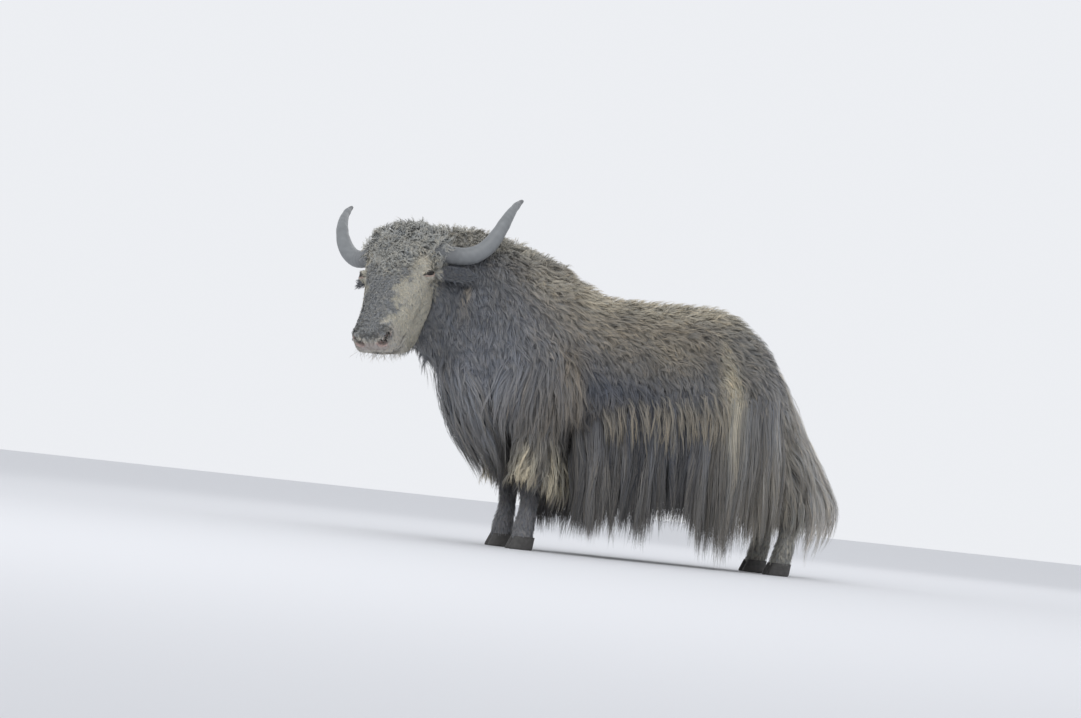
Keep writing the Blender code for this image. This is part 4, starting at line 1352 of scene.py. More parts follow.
class Coat:
    """The whole coat, kind by kind and piece by piece."""

    PELT = Hair()
    NECK = Hair(
        shortest=0.040, longest=0.066, height=0.030, width=0.0028, gather=0.30, droop=0.2, tip_shade=1.03,
    )
    DEWLAP = Hair(
        shortest=0.08, longest=0.15, height=0.046, spread=0.014, width=0.0032, strands=5, steps=5,
        gather=0.75, droop=0.8, hold=0.0, wander=0.2, curl=0.004, turns=1.2,
    )
    CREST = Hair(
        shortest=0.040, longest=0.062, height=0.042, spread=0.010, width=0.0026, gather=0.4, droop=0.0,
        hold=0.0, wander=0.5, curl=0.003, turns=0.8,
    )
    MANTLE = Hair(
        shortest=0.17, longest=0.29, height=0.070, spread=0.015, width=0.0032, strands=7, steps=6,
        gather=0.85, droop=0.55, hold=0.3, wander=0.10, curl=0.005, turns=1.3, root_shade=0.72,
        tip_shade=1.12,
    )
    LONG = Hair(
        spread=0.015, width=0.0032, strands=7, steps=6, gather=0.85, curl=0.0065, turns=1.5, fade=1.5,
        root_shade=0.88, tip_shade=1.06,
    )
    FRINGE = Hair(
        shortest=0.13, longest=0.25, height=0.092, spread=0.011, steps=5, gather=0.92, droop=0.7, hold=0.3,
        wander=0.12, curl=0.005, turns=1.2, root_shade=0.85, tip_shade=1.20,
    )
    TAIL = Hair(
        spread=0.015, width=0.0032, strands=7, steps=6, gather=0.80, curl=0.009, turns=1.6,
        root_shade=0.80, tip_shade=1.08,
    )
    SHIN = Hair(
        shortest=0.020, longest=0.036, height=0.010, spread=0.006, width=0.0028, strands=4, gather=0.5,
        droop=0.2, wander=0.15, root_shade=0.80, tip_shade=1.05,
    )
    FACE = Hair(
        shortest=0.009, longest=0.015, height=0.0036, spread=0.004, width=0.0023, strands=5, steps=2,
        gather=0.4, droop=0.05, wander=0.25, root_shade=0.86, tip_shade=1.05,
    )
    CURLS = Hair(
        shortest=0.026, longest=0.046, height=0.023, spread=0.0055, width=0.0022, steps=5, gather=0.80,
        droop=0.0, wander=0.9, curl=0.0060, turns=1.5, root_shade=0.60, tip_shade=1.12,
    )
    BRIDGE = Hair(
        shortest=0.016, longest=0.028, height=0.0075, spread=0.005, width=0.0021, strands=5, steps=4,
        gather=0.75, droop=0.0, wander=0.6, curl=0.0036, turns=1.1, root_shade=0.62, tip_shade=1.12,
    )
    THROAT = Hair(
        shortest=0.035, longest=0.065, height=0.020, spread=0.008, width=0.0028, strands=5, gather=0.7,
        droop=0.5, wander=0.25, root_shade=0.7, tip_shade=1.1,
    )
    EAR = Hair(
        shortest=0.018, longest=0.036, height=0.011, spread=0.006, width=0.0022, strands=5, gather=0.4,
        droop=0.35, wander=0.30, root_shade=0.8, tip_shade=1.10,
    )
    WHISKER = Hair(
        shortest=0.030, longest=0.060, height=0.030, spread=0.004, width=0.0013, strands=2, steps=4,
        gather=0.2, droop=0.5, wander=0.4, root_shade=0.8, tip_shade=1.0,
    )
    # locks for each square metre, and locks in all
    PELT_PER_AREA = 5200.0
    SHIN_PER_AREA = 16000.0
    EAR_PER_AREA = 22000.0
    SKIRT_LOCKS = 1450
    CUFF_LOCKS = 490
    TROUSER_LOCKS = 600
    BIB_LOCKS = 700
    TAIL_LOCKS = 1350
    # where the fore part, the barrel and the rear start along the body, and where the shins end
    REGION_STARTS = (-0.88, -0.38, 0.14)
    SHIN_TOP = 0.26
    MANTLE_MIDDLE = -0.625
    # The outer form of the long hair of each leg, the bib and the tail: height, x, y, half width, half depth
    CUFF_ROWS = table(
        (0.660, 0.165, -0.592, 0.096, 0.140), (0.560, 0.168, -0.592, 0.102, 0.136),
        (0.430, 0.170, -0.592, 0.108, 0.136), (0.310, 0.168, -0.588, 0.112, 0.148),
        (0.220, 0.160, -0.584, 0.104, 0.152), (0.140, 0.152, -0.584, 0.090, 0.130),
    )
    TROUSER_ROWS = table(
        (0.860, 0.150, 0.320, 0.100, 0.165), (0.700, 0.158, 0.375, 0.102, 0.190),
        (0.560, 0.158, 0.455, 0.094, 0.155), (0.430, 0.154, 0.540, 0.088, 0.122),
        (0.310, 0.146, 0.578, 0.080, 0.100), (0.215, 0.138, 0.590, 0.066, 0.078),
        (0.150, 0.132, 0.588, 0.056, 0.062),
    )
    BIB_ROWS = table(
        (0.800, 0.064, -0.996, 0.120, 0.108), (0.660, 0.034, -0.914, 0.155, 0.130),
        (0.540, 0.010, -0.858, 0.170, 0.132), (0.430, 0.000, -0.802, 0.155, 0.120),
        (0.330, 0.000, -0.752, 0.125, 0.092), (0.235, 0.000, -0.722, 0.085, 0.058),
    )
    TAIL_ROWS = table(
        (0.985, 0.000, 0.415, 0.045, 0.040), (0.890, 0.000, 0.500, 0.052, 0.046),
        (0.760, 0.000, 0.562, 0.062, 0.058), (0.610, 0.000, 0.622, 0.084, 0.082),
        (0.450, 0.004, 0.690, 0.104, 0.114), (0.320, 0.008, 0.742, 0.110, 0.134),
        (0.200, 0.010, 0.752, 0.098, 0.118), (0.060, 0.010, 0.735, 0.060, 0.070),
    )

    def __init__(self, frame: Frame, skins: "Skins", markings: Markings, material: Material) -> None:
        self.frame, self.skins, self.markings, self.material = frame, skins, markings, material
        self.pieces: list[Object] = []

    def dress(self) -> list[Object]:
        """Makes every piece of the coat."""
        self.pelt()
        self.shins()
        self.long_hair()
        self.head()
        return self.pieces

    def keep(self, piece: CoatPiece) -> None:
        """Builds a piece and keeps it."""
        self.pieces.append(piece.build(self.frame, self.material))

    @staticmethod
    def body_flow(place: Array, out: Array) -> Array:
        """The lie of the body's coat: rearward along the back, more and more downward below it."""
        y, z = place[:, 1], place[:, 2]
        high = smoothstep(0.72, 1.10, z) * smoothstep(-0.80, -0.50, y)
        rear = 0.22 + 0.75 * high
        rear = rear * smoothstep(0.10, 0.30, z)
        fall = 0.95 - 0.35 * high
        aside = 0.25 * np.sign(place[:, 0]) * high
        return np.stack([aside, rear, -fall], axis=-1)

    @classmethod
    def mantle_flow(cls, place: Array, out: Array) -> Array:
        """A fan below the shoulder: forward before its middle, rearward behind it, then straight down."""
        y, z = place[:, 1], place[:, 2]
        fan = np.clip(2.6 * (y - cls.MANTLE_MIDDLE), -0.40, 0.55) * smoothstep(0.40, 0.68, z)
        fan = np.where(y > -0.42, 0.15, fan)
        return np.stack([0.30 * np.sign(place[:, 0]), fan, np.full_like(y, -1.0)], axis=-1)

    def body_paths(
        self,
        hair: Hair,
        roots: Array,
        normals: Array,
        seed: int,
        scale: Optional[Array] = None,
        flow: Optional[Flow] = None,
    ) -> Paths:
        """Locks over the body that follow its lie."""
        clump = np.exp(0.22 * ripple(roots, 0.07, 620))
        scale = clump if scale is None else scale * clump
        line, out = comb(hair, roots, normals, flow or self.body_flow, seed, self.skins.field, scale)
        around = np.arctan2(roots[:, 0], roots[:, 2] - 0.72)
        colour = self.markings.ends(roots, line[:, -1])
        streak = 1.0 + 0.09 * ripple(roots, 0.045, 630) + 0.06 * ripple(roots, 0.15, 631)
        return Paths(line, out, np.stack([roots[:, 1], around], axis=-1), colour * streak[:, None, None])

    @classmethod
    def regions(cls, roots: Array) -> dict[str, Array]:
        """Which roots belong to each piece of the body's coat, from the neck to the rear."""
        x, y, z = roots.T
        part, high = np.digitize(y, cls.REGION_STARTS), z >= cls.SHIN_TOP
        found = {"coat_neck": (part == 0) & high}
        for number, name in enumerate(("fore", "barrel", "rear"), start=1):
            found[f"coat_{name}_left"] = (part == number) & (x >= 0) & high
            found[f"coat_{name}_right"] = (part == number) & (x < 0) & high
        return found

    def pelt(self) -> None:
        """The general coat of the body, with the longer layers that lie over it."""
        skin = self.skins.body
        p, n = skin.points, skin.normals()
        under = 1.0 - 0.75 * smoothstep(-0.3, -0.8, n[:, 2])
        under = under * (1.0 - 0.7 * smoothstep(0.50, 0.44, p[:, 2]))
        roots, normals = scatter(skin, smoothstep(0.10, 0.18, p[:, 2]) * under, self.PELT_PER_AREA, 101)
        clear = self.skins.head_distance(roots) > -0.004
        roots, normals = roots[clear], normals[clear]
        for number, (name, chosen) in enumerate(self.regions(roots).items()):
            piece = CoatPiece(name)
            hair = self.NECK if name == "coat_neck" else self.PELT
            r, m = roots[chosen], normals[chosen]
            low = smoothstep(0.9, 0.6, r[:, 2]) * smoothstep(-0.90, -0.70, r[:, 1])
            scale = 1.0 + 0.75 * low - 0.60 * smoothstep(0.50, 0.30, r[:, 2])
            piece.add(hair, self.body_paths(hair, r, m, 200 + number, scale), 300 + number)
            self.add_crest(piece, r, m, number)
            if name.startswith(("coat_neck", "coat_fore")):
                self.add_dewlap(piece, r, m, number)
            if name.startswith("coat_fore"):
                self.add_mantle(piece, r, m, number)
            if name.startswith(("coat_barrel", "coat_rear")):
                self.add_fringe(piece, r, m, number)
            self.keep(piece)

    def add_crest(self, piece: CoatPiece, r: Array, m: Array, number: int) -> None:
        """Standing hair along the top of the neck and the hump."""
        top = (m[:, 2] > 0.45) & (r[:, 1] < -0.50) & (r[:, 2] > 1.05)
        if top.any():
            piece.add(self.CREST, self.body_paths(self.CREST, r[top], m[top], 400 + number), 500 + number)

    def add_dewlap(self, piece: CoatPiece, r: Array, m: Array, number: int) -> None:
        """Hanging hair under the neck and chest, from every second root."""
        below = (m[:, 2] < -0.45) & (r[:, 2] > 0.50) & (r[:, 1] > -1.12)
        below[::2] = False
        fall = self.body_paths(self.DEWLAP, r[below], m[below], 450 + number)
        piece.add(self.DEWLAP, fall, 550 + number)

    def add_mantle(self, piece: CoatPiece, r: Array, m: Array, number: int) -> None:
        """The fan of long hair on the shoulder, denser below."""
        mantle = (r[:, 1] > -0.80) & (r[:, 1] < -0.49) & (r[:, 2] > 0.54) & (np.abs(r[:, 0]) > 0.14)
        thin = np.random.default_rng(650 + number).uniform(0.0, 1.0, len(r))
        mantle &= thin < 0.70 * smoothstep(0.90, 0.70, r[:, 2])
        fan = self.body_paths(self.MANTLE, r[mantle], m[mantle], 600 + number, None, self.mantle_flow)
        piece.add(self.MANTLE, fan, 700 + number)

    def add_fringe(self, piece: CoatPiece, r: Array, m: Array, number: int) -> None:
        """The pale fringe that falls over the top of the skirt, longer in front."""
        slant = 0.670 + 0.18 * r[:, 1] + 0.030 * ripple(r, 0.16, 640)
        fringe = (np.abs(r[:, 0]) > 0.18) & (np.abs(r[:, 2] - slant) < 0.05) & (r[:, 1] < 0.16)
        r, m = r[fringe], m[fringe]
        longer = 1.0 + 0.5 * smoothstep(0.05, -0.40, r[:, 1])
        fall = self.body_paths(self.FRINGE, r, m, 660 + number, longer, self.mantle_flow)
        fall.colour = 0.45 * fall.colour + 0.55 * linear(self.markings.FRINGE)
        piece.add(self.FRINGE, fall, 760 + number)

    def shins(self) -> None:
        """Short hair below the long hair of the legs, down to the claws."""
        skin = self.skins.body
        z = skin.points[:, 2]
        low = smoothstep(0.30, 0.24, z) * smoothstep(0.060, 0.070, z)
        roots, normals = scatter(skin, low, self.SHIN_PER_AREA, 111)
        left = roots[:, 0] > 0
        for side, chosen in ((Side.LEFT, left), (Side.RIGHT, ~left)):
            piece = CoatPiece(f"coat_shins_{side.name.lower()}")
            piece.add(self.SHIN, self.body_paths(self.SHIN, roots[chosen], normals[chosen], 112), 113)
            self.keep(piece)

    def long_hair(self) -> None:
        """Skirts, cuffs, trousers, bib and tail."""
        skirts = {Side.LEFT: Skirt(), Side.RIGHT: Skirt(edge=FAR_EDGE)}
        cuff = Brush(
            self.CUFF_ROWS,
            core=0.50,
            roots=(0.34, 0.66),
            reach=(0.16, 0.30),
            hem=lambda y: 0.245 - 0.105 * smoothstep(-0.68, -0.50, y),
        )
        trouser = Brush(self.TROUSER_ROWS, 0.55, (0.34, 0.80), (0.16, 0.30), lambda y: np.full_like(y, 0.135))
        bib = Brush(self.BIB_ROWS, 0.55, (0.50, 0.79), (0.20, 0.34), lambda y: np.full_like(y, 0.24))
        tail = Brush(
            self.TAIL_ROWS,
            core=0.30,
            roots=(0.47, 0.985),
            reach=(0.30, 0.52),
            hem=lambda y: 0.050 + 0.12 * smoothstep(0.76, 0.94, y),
            bunches=Tassels(0.060, 0.60, 0.034, 0.12),
            tone=self.markings.TAIL,
        )
        steps, marks = self.LONG.steps, self.markings
        for side in Side:
            name, x = side.name.lower(), side.value
            piece = CoatPiece(f"coat_skirt_{name}")
            curtain = skirts[side].paths(self.SKIRT_LOCKS, x, steps, self.skins.bare, marks, 801)
            self.keep(piece.add(self.LONG, curtain, 802))
            piece = CoatPiece(f"coat_legs_{name}")
            piece.add(self.LONG, cuff.paths(self.CUFF_LOCKS, x, steps, marks, 811), 812)
            piece.add(self.LONG, trouser.paths(self.TROUSER_LOCKS, x, steps, marks, 821), 822)
            self.keep(piece)
        front = bib.paths(self.BIB_LOCKS, 1.0, steps, marks, 831)
        self.keep(CoatPiece("coat_bib").add(self.LONG, front, 832))
        brush = tail.paths(self.TAIL_LOCKS, 1.0, self.TAIL.steps, marks, 841)
        self.keep(CoatPiece("coat_tail").add(self.TAIL, brush, 842))

    def head(self) -> None:
        """Curls on the forehead and bridge, short hair on the face, and longer hair at throat and ears."""
        grid, place, marks = self.skins.head, HeadPlace(), self.markings
        points = self.skins.head_points
        q = folded(points)
        wave, forehead = marks.waves(q)
        buried = smoothstep(-0.005, 0.004, self.skins.body_distance(grid.points))
        local = EYE.to_eye(q)
        clear = smoothstep(1.30, 1.75, np.sqrt(EYE.opening(local)))
        clear = np.where(local[:, 2] > -0.03, clear, 1.0) * (1.0 - 0.8 * marks.pad(q))
        throat = marks.throat(q, wave)
        bridge = marks.bridge(q, wave, points[:, 0]) * (1.0 - forehead)
        face = (1 - forehead) * (1 - 0.9 * bridge) * (1 - 0.8 * throat) * clear
        chin = throat * smoothstep(-0.46, -0.40, q[:, 1])
        gap = HeadSkin().mouth(q, 0.012) * smoothstep(-0.485, -0.500, q[:, 1])
        face = face * (1.0 - np.minimum(1.0, 1.6 * gap))
        lips = smoothstep(-0.50, -0.54, q[:, 1]) * smoothstep(-0.10, -0.14, q[:, 2])

        def flow_face(p: Array, out: Array) -> Array:
            """Down the face and back toward the jaw."""
            f = np.stack([0.25 * np.sign(p[:, 0]), np.full(len(p), -0.75), np.full(len(p), -0.60)], axis=-1)
            return place.aim(f)

        def flow_down(p: Array, out: Array) -> Array:
            """Straight down, with a lean away from the face."""
            return np.broadcast_to(DOWN, p.shape) + 0.2 * place.aim(np.array((0.0, 0.3, -0.4)))

        def flow_curl(p: Array, out: Array) -> Array:
            """Turning this way and that over the forehead."""
            return np.stack([ripple(p, 0.06, 40 + k) for k in range(3)], axis=-1) + 0.3 * DOWN

        kinds = (
            ("coat_forehead", self.CURLS, forehead * buried * clear, 17000.0, flow_curl, 901),
            ("coat_face", self.BRIDGE, bridge * buried * clear, 24000.0, flow_face, 911),
            ("coat_face", self.FACE, face * buried, 31000.0, flow_face, 921),
            ("coat_face", self.THROAT, chin * buried, 11000.0, flow_down, 931),
            ("coat_face", self.WHISKER, lips * buried, 3600.0, flow_down, 951),
        )
        pieces: dict[str, CoatPiece] = {}
        for name, hair, chance, per_area, flow, seed in kinds:
            roots, normals = scatter(grid, chance, per_area, seed)
            piece = pieces.setdefault(name, CoatPiece(name))
            scale = self.head_scale(hair, place.to_head(roots))
            piece.add(hair, self.head_paths(hair, roots, normals, flow, seed + 1, scale), seed + 2)
        ears = pieces.setdefault("coat_ears", CoatPiece("coat_ears"))
        for side, ear in zip(Side, self.skins.ears):

            def flow_ear(p: Array, out: Array, turn: float = side.value) -> Array:
                """Along the ear toward its tip."""
                along = np.array(Ear.BENDS[turn][-1]) - np.array(Ear.BENDS[turn][0])
                return np.broadcast_to(place.aim(along * (turn, 1.0, 1.0)), p.shape) / 0.2 + 0.5 * DOWN

            roots, normals = scatter(ear, np.ones(len(ear.points)), self.EAR_PER_AREA, 941)
            ears.add(self.EAR, self.head_paths(self.EAR, roots, normals, flow_ear, 943), 945)
        for piece in pieces.values():
            self.keep(piece)

    @classmethod
    def head_scale(cls, hair: Hair, at: Array) -> Optional[Array]:
        """Length of the head's locks: less by the nostrils and the eyes, more at the poll and the horns."""
        if hair is cls.BRIDGE:
            return 0.5 + 0.5 * smoothstep(-0.54, -0.50, at[:, 1])
        if hair is not cls.CURLS:
            return None
        at = folded(at)
        scale = 0.75 + 0.25 * smoothstep(-0.28, -0.20, at[:, 1]) + 0.9 * smoothstep(-0.14, -0.03, at[:, 1])
        scale = scale + 0.5 * hill(at, Horn.BENDS[0], (0.060, 0.050, 0.060))
        from_eye = np.linalg.norm(at - EYE.centre, axis=1)
        return scale * (1.0 - 0.45 * smoothstep(0.075, 0.045, from_eye))

    def head_paths(
        self, hair: Hair, roots: Array, normals: Array, flow: Flow, seed: int, scale: Optional[Array] = None
    ) -> Paths:
        """Locks on the head, unwrapped round the line of the face."""
        line, out = comb(hair, roots, normals, flow, seed, None, scale)
        q = HeadPlace().to_head(roots)
        colour = self.markings.head(q)
        around = np.arctan2(q[:, 0], q[:, 2] + 0.13)
        return Paths(line, out, np.stack([around, q[:, 1]], axis=-1), np.stack([colour, colour], axis=1))


class Skins:
    """The bare animal: body, head, lids and ears, kept apart as arrays and joined as one object."""

    # Painted shade: the skin under the hair is darkened as the shade between the locks, the body's more than
    # the head's.
    BODY_SHADE = 0.60
    FURRY_SHADE = 0.88
    FAR = 1.0
    HEAD_LOW = (-1.0, -0.65, -0.35)
    HEAD_HIGH = (0.20, 0.10, 0.05)

    def __init__(self, frame: Frame, material: Material) -> None:
        place = HeadPlace()
        self.bare = BodySkin()
        self.object = self.bare.build(frame, material)
        self.body = read_shape(self.object, frame.shift)
        self.field = Distance(self.body)
        shape = HeadSkin()
        grid = closed_grid(shape.grid())
        self.head_points = grid.points
        self.head = place.hold(grid)
        self.tree = BVHTree.FromPolygons(self.head.points.tolist(), self.head.triangles().tolist())
        self.ears = []
        others = [frame.place("head_skin", self.head, material)]
        for side in Side:
            self.ears.append(place.hold(closed_grid(Ear().grid(side.value))))
            others.append(frame.place("ear_skin", self.ears[-1], material))
            others.append(frame.place("lid_skin", place.hold(shape.lids(side.value)), material))
        for other in others:
            weld(self.object, other)

    def head_distance(self, points: Array) -> Array:
        """Signed distance from the head's skin, for places near it; far places get a large value."""
        q = folded(HeadPlace().to_head(points))
        near = np.all((q > self.HEAD_LOW) & (q < self.HEAD_HIGH), axis=1)
        out = np.full(len(points), self.FAR)
        for i in np.flatnonzero(near):
            hit, normal, _, apart = self.tree.find_nearest(Vector(points[i]))
            out[i] = apart if (Vector(points[i]) - hit).dot(normal) > 0 else -apart
        return out

    def body_distance(self, points: Array) -> Array:
        """Signed distance from the body's skin."""
        return self.field.value(points)

    def colour(self, markings: Markings, frame: Frame) -> None:
        """Gives the joined skin the coat's markings, darker under the hair as painted shade like the roots',
        and the bare parts their own.
        """
        obj = self.object
        count = len(obj.data.vertices)
        points = np.empty(count * 3, np.float32)
        obj.data.vertices.foreach_get("co", points)
        points = points.reshape(-1, 3).astype(float) - frame.shift
        signed = HeadPlace().to_head(points)
        q = folded(signed)
        on_head = (q[:, 1] < 0.02) & (q[:, 0] < 0.30) & (q[:, 2] > -0.32) & (q[:, 2] < 0.05)
        # Painted shade: the body's skin darkened under the coat.
        body = markings.body(points) * self.BODY_SHADE
        head = markings.head(signed)
        eye = hill(q, EYE.centre, (0.034, 0.028, 0.034))
        bare = np.maximum(markings.pad(q), smoothstep(0.5, 0.8, eye))
        # Painted shade: the head's skin darkened under its hair, but not where it is bare.
        head = head * (self.FURRY_SHADE + (1.0 - self.FURRY_SHADE) * bare)[:, None]
        pit = HeadSkin.nostril(q)
        rim = smoothstep(0.10, 0.24, pit) * (1.0 - smoothstep(0.34, 0.48, pit))
        head = markings.mix(head, markings.NOSTRIL_RIM, 0.8 * rim)
        # Painted shade: near-black deep in each nostril's pit.
        head = markings.mix(head, markings.NOSTRIL, smoothstep(0.38, 0.54, pit))
        # Painted shade along the groove of the mouth.
        mouth = HeadSkin().mouth(q, 0.004) * (1 - smoothstep(-0.50, -0.475, q[:, 1]))
        head = markings.mix(head, markings.NOSTRIL, 0.8 * mouth)
        local = EYE.to_eye(q)
        close = (np.abs(local[:, 2]) < 0.03) & (EYE.opening(local) < np.where(local[:, 1] > 0.0, 2.3, 1.9))
        head = markings.mix(head, markings.LOWER_LID, 0.65 * (close & (local[:, 1] < -0.001)))
        # The dark upper lid, and painted shade under the brow above it.
        head = markings.mix(head, markings.UPPER_LID_AND_SHADE, 0.9 * (close & (local[:, 1] >= -0.001)))
        paint_points(obj.data, np.where(on_head[:, None], head, body))


class Horn:
    """A round horn that runs out, forward and then up, with growth rings at its base and a dark tip."""

    BENDS = ((0.150, -0.074, -0.104), (0.349, -0.051, -0.279), (0.387, 0.088, -0.070), (0.398, 0.298, -0.217))
    SUNK = 0.04
    BASE_RADIUS = 0.0375
    TIP_RADIUS = 0.0045
    RINGS = 170
    AROUND = 48
    BASE = "6e7072"
    MIDDLE = "7e8183"
    TIP = "46484b"

    def grid(self, side: float) -> Array:
        """Rings of radius tip + (base - tip) (1 - t^2.1)^0.72, ridged near the base, with a rounded point."""
        t = np.linspace(-self.SUNK, 1.0, self.RINGS)
        line = bezier(self.BENDS, t)
        t = np.maximum(t, 0.0)
        radius = self.TIP_RADIUS + (self.BASE_RADIUS - self.TIP_RADIUS) * (1.0 - t**2.1) ** 0.72
        radius *= np.sqrt(np.clip(1.0 - smoothstep(0.985, 1.0, t) ** 2, 0.02, 1.0))
        ridge = 0.0011 * np.sin(2 * math.pi * 22.0 * t**0.9) * (1.0 - smoothstep(0.02, 0.42, t)) * 0.5
        radius = radius + ridge + 0.0006 * ripple(line, 0.05, 71)
        sizes = np.stack([radius, radius * 0.96], axis=-1)
        grid = swept_grid(line, sizes, self.AROUND, (0.0, 1.0, 0.35))
        return grid * np.array((side, 1.0, 1.0))

    def build(self, frame: Frame, side: Side, material: Material) -> Object:
        """The horn as an object, with its colour along the length stored for the material."""
        shape = HeadPlace().hold(closed_grid(self.grid(side.value)))
        obj = frame.place(f"horn_{side.name.lower()}_looks", shape, material)
        t = np.repeat(np.linspace(0.0, 1.0, self.RINGS), self.AROUND)
        t = np.concatenate([t, [0.0, 1.0]])
        base, middle, tip = linear(self.BASE), linear(self.MIDDLE), linear(self.TIP)
        a, b = smoothstep(0.0, 0.35, t)[:, None], smoothstep(0.86, 1.0, t)[:, None]
        colour = (base * (1 - a) + middle * a) * (1 - b) + tip * b
        paint_points(obj.data, colour * (1 + 0.05 * ripple(shape.points, 0.03, 73))[:, None])
        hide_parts(f"horn_{side.name.lower()}")
        return obj


class Eyeball:
    """A dark eyeball with a level oval pupil under a clear glossy surface."""

    RINGS = 72
    AROUND = 64
    IRIS_RADIUS = 0.0165
    PUPIL_HALF = (0.0060, 0.0036)
    WHITE = "33291f"
    IRIS = "130c08"
    PUPIL = "060505"

    def build(self, frame: Frame, side: Side, material: Material) -> Object:
        """Rings round the outward axis, coloured from pupil to iris to white."""
        polar = np.linspace(0.02, math.pi - 0.02, self.RINGS)[:, None]
        v = angles(self.AROUND)[None]
        reach = np.sin(polar)
        local = np.stack([reach * np.cos(v), reach * np.sin(v), np.cos(polar) + 0 * v], axis=-1)
        shape = closed_grid(local * EYE.radius * 0.995)
        a, b = np.abs(shape.points[:, 0]), np.abs(shape.points[:, 1])
        pupil = (a / self.PUPIL_HALF[0]) ** 2.4 + (b / self.PUPIL_HALF[1]) ** 2.4
        iris = np.hypot(a, b) / self.IRIS_RADIUS
        colour = np.broadcast_to(linear(self.WHITE), shape.points.shape).copy()
        colour = Markings.mix(colour, self.IRIS, 1.0 - smoothstep(0.92, 1.08, iris))
        colour = Markings.mix(colour, self.PUPIL, 1.0 - smoothstep(0.85, 1.15, pupil))
        held = HeadPlace().hold(Shape(EYE.to_head(shape.points, side.value), shape.faces))
        obj = frame.place(f"eye_{side.name.lower()}_looks", held, material)
        paint_points(obj.data, colour)
        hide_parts(f"eye_{side.name.lower()}")
        return obj


@dataclass(frozen=True)
class Claw:
    """Half of a cloven hoof, standing on its flat sole."""

    length: float = 0.104
    width: float = 0.051
    height: float = 0.055
    spread: float = 0.0215
    toe_reach: float = 0.016
    forward: float = 0.006

    def grid(self) -> Array:
        """D-shaped rings from the sole to the hairline, with a rounded edge and faint growth ridges."""
        up = np.concatenate([[0.0, 0.0, 0.0012, 0.003, 0.006], np.linspace(0.010, self.height, 22)])
        size = np.concatenate([[0.60, 0.90, 0.955, 0.985, 1.0], 1.0 - 0.14 * np.linspace(0.0, 1.0, 22)])
        size = size + 0.006 * np.sin(up * 900.0) * smoothstep(0.008, 0.02, up)
        v = 2 * math.pi * (np.arange(48) + 0.5) / 48
        out, ahead = np.cos(v)[None], np.sin(v)[None]
        x = self.width / 2 * size[:, None] * np.where(out > 0, out, 0.72 * out)
        y = self.length / 2 * size[:, None] * ahead * np.where(ahead > 0, 1.0, 1.0 + 0.10 * np.abs(out))
        lean = self.toe_reach * (1 - up / self.height)[:, None]
        return np.stack([x, -y - lean, np.broadcast_to(up[:, None], x.shape)], axis=-1)

    def build(
        self, frame: Frame, end: str, foot: tuple, side: Side, outward: float, material: Material
    ) -> Object:
        """One claw in its place under a foot."""
        shape = closed_grid(self.grid())
        points = shape.points * np.array((side.value * outward, 1.0, 1.0))
        points += np.array((side.value * (foot[0] + outward * self.spread), foot[1] - self.forward, 0.0))
        place = "outer" if outward > 0 else "inner"
        node = f"claw_{end}_{side.name.lower()}_{place}"
        obj = frame.place(node + "_looks", Shape(points, shape.faces).facing_out(), material)
        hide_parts(node)
        return obj


# Materials


class Finish:
    """A material being built from nodes."""

    def __init__(self, name: str, roughness: float, specular: float = 0.4) -> None:
        self.material = bpy.data.materials.new(name)
        self.material.use_nodes = True
        self.tree = self.material.node_tree
        self.shader = self.tree.nodes["Principled BSDF"]
        self.shader.inputs["Roughness"].default_value = roughness
        self.shader.inputs["Specular IOR Level"].default_value = specular

    def node(
        self, kind: str, settings: Optional[dict] = None, links: Optional[dict] = None
    ) -> bpy.types.Node:
        """Adds a node, sets its inputs by name, and links others to the sockets given."""
        made = self.tree.nodes.new(kind)
        for key, value in (settings or {}).items():
            if key in made.inputs:
                made.inputs[key].default_value = value
            else:
                setattr(made, key, value)
        for key, socket in (links or {}).items():
            self.tree.links.new(socket, made.inputs[key])
        return made

    def noise(self, scale: float, detail: float = 4.0) -> bpy.types.NodeSocket:
        """A noise over the object's own space."""
        place = self.node("ShaderNodeTexCoord")
        settings = {"Scale": scale, "Detail": detail}
        return self.node("ShaderNodeTexNoise", settings, {"Vector": place.outputs["Object"]}).outputs["Fac"]

    def painted(self, noise_scale: float, low: float, high: float) -> None:
        """The stored colour, varied by a noise of the given scale from low to high times."""
        paint = self.node("ShaderNodeAttribute", {"attribute_name": COAT_ATTRIBUTE})
        noise = self.noise(noise_scale)
        span = self.node("ShaderNodeMapRange", {"To Min": low, "To Max": high}, {"Value": noise})
        mixed = self.node("ShaderNodeVectorMath", {"operation": "MULTIPLY"})
        self.tree.links.new(paint.outputs["Color"], mixed.inputs[0])
        self.tree.links.new(span.outputs["Result"], mixed.inputs[1])
        self.tree.links.new(mixed.outputs["Vector"], self.shader.inputs["Base Color"])

    def bump(self, height: bpy.types.NodeSocket, strength: float, distance: float) -> None:
        """Bends the shading by a height."""
        node = self.node("ShaderNodeBump", {"Strength": strength, "Distance": distance}, {"Height": height})
        self.tree.links.new(node.outputs["Normal"], self.shader.inputs["Normal"])


def coat_finish() -> Material:
    """Dry outdoor hair: dull, with a faint soft sheen and tone that shifts from lock to lock."""
    made = Finish("coat_hair", 0.62, 0.25)
    made.painted(9.0, 0.86, 1.14)
    made.shader.inputs["Sheen Weight"].default_value = 0.12
    made.shader.inputs["Sheen Roughness"].default_value = 0.5
    return made.material


def skin_finish() -> Material:
    """Leathery skin with short flat hair as fine grain, seen on the muzzle, lids and shins."""
    made = Finish("skin_leather", 0.52, 0.4)
    made.painted(45.0, 0.80, 1.18)
    made.bump(made.noise(420.0, 3.0), 0.35, 0.0015)
    return made.material


def horn_finish() -> Material:
    """Grey horn: a soft polish with fine bumps and cloudy grain."""
    made = Finish("horn_keratin", 0.42, 0.45)
    made.painted(22.0, 0.93, 1.07)
    made.bump(made.noise(260.0), 0.25, 0.0010)
    return made.material


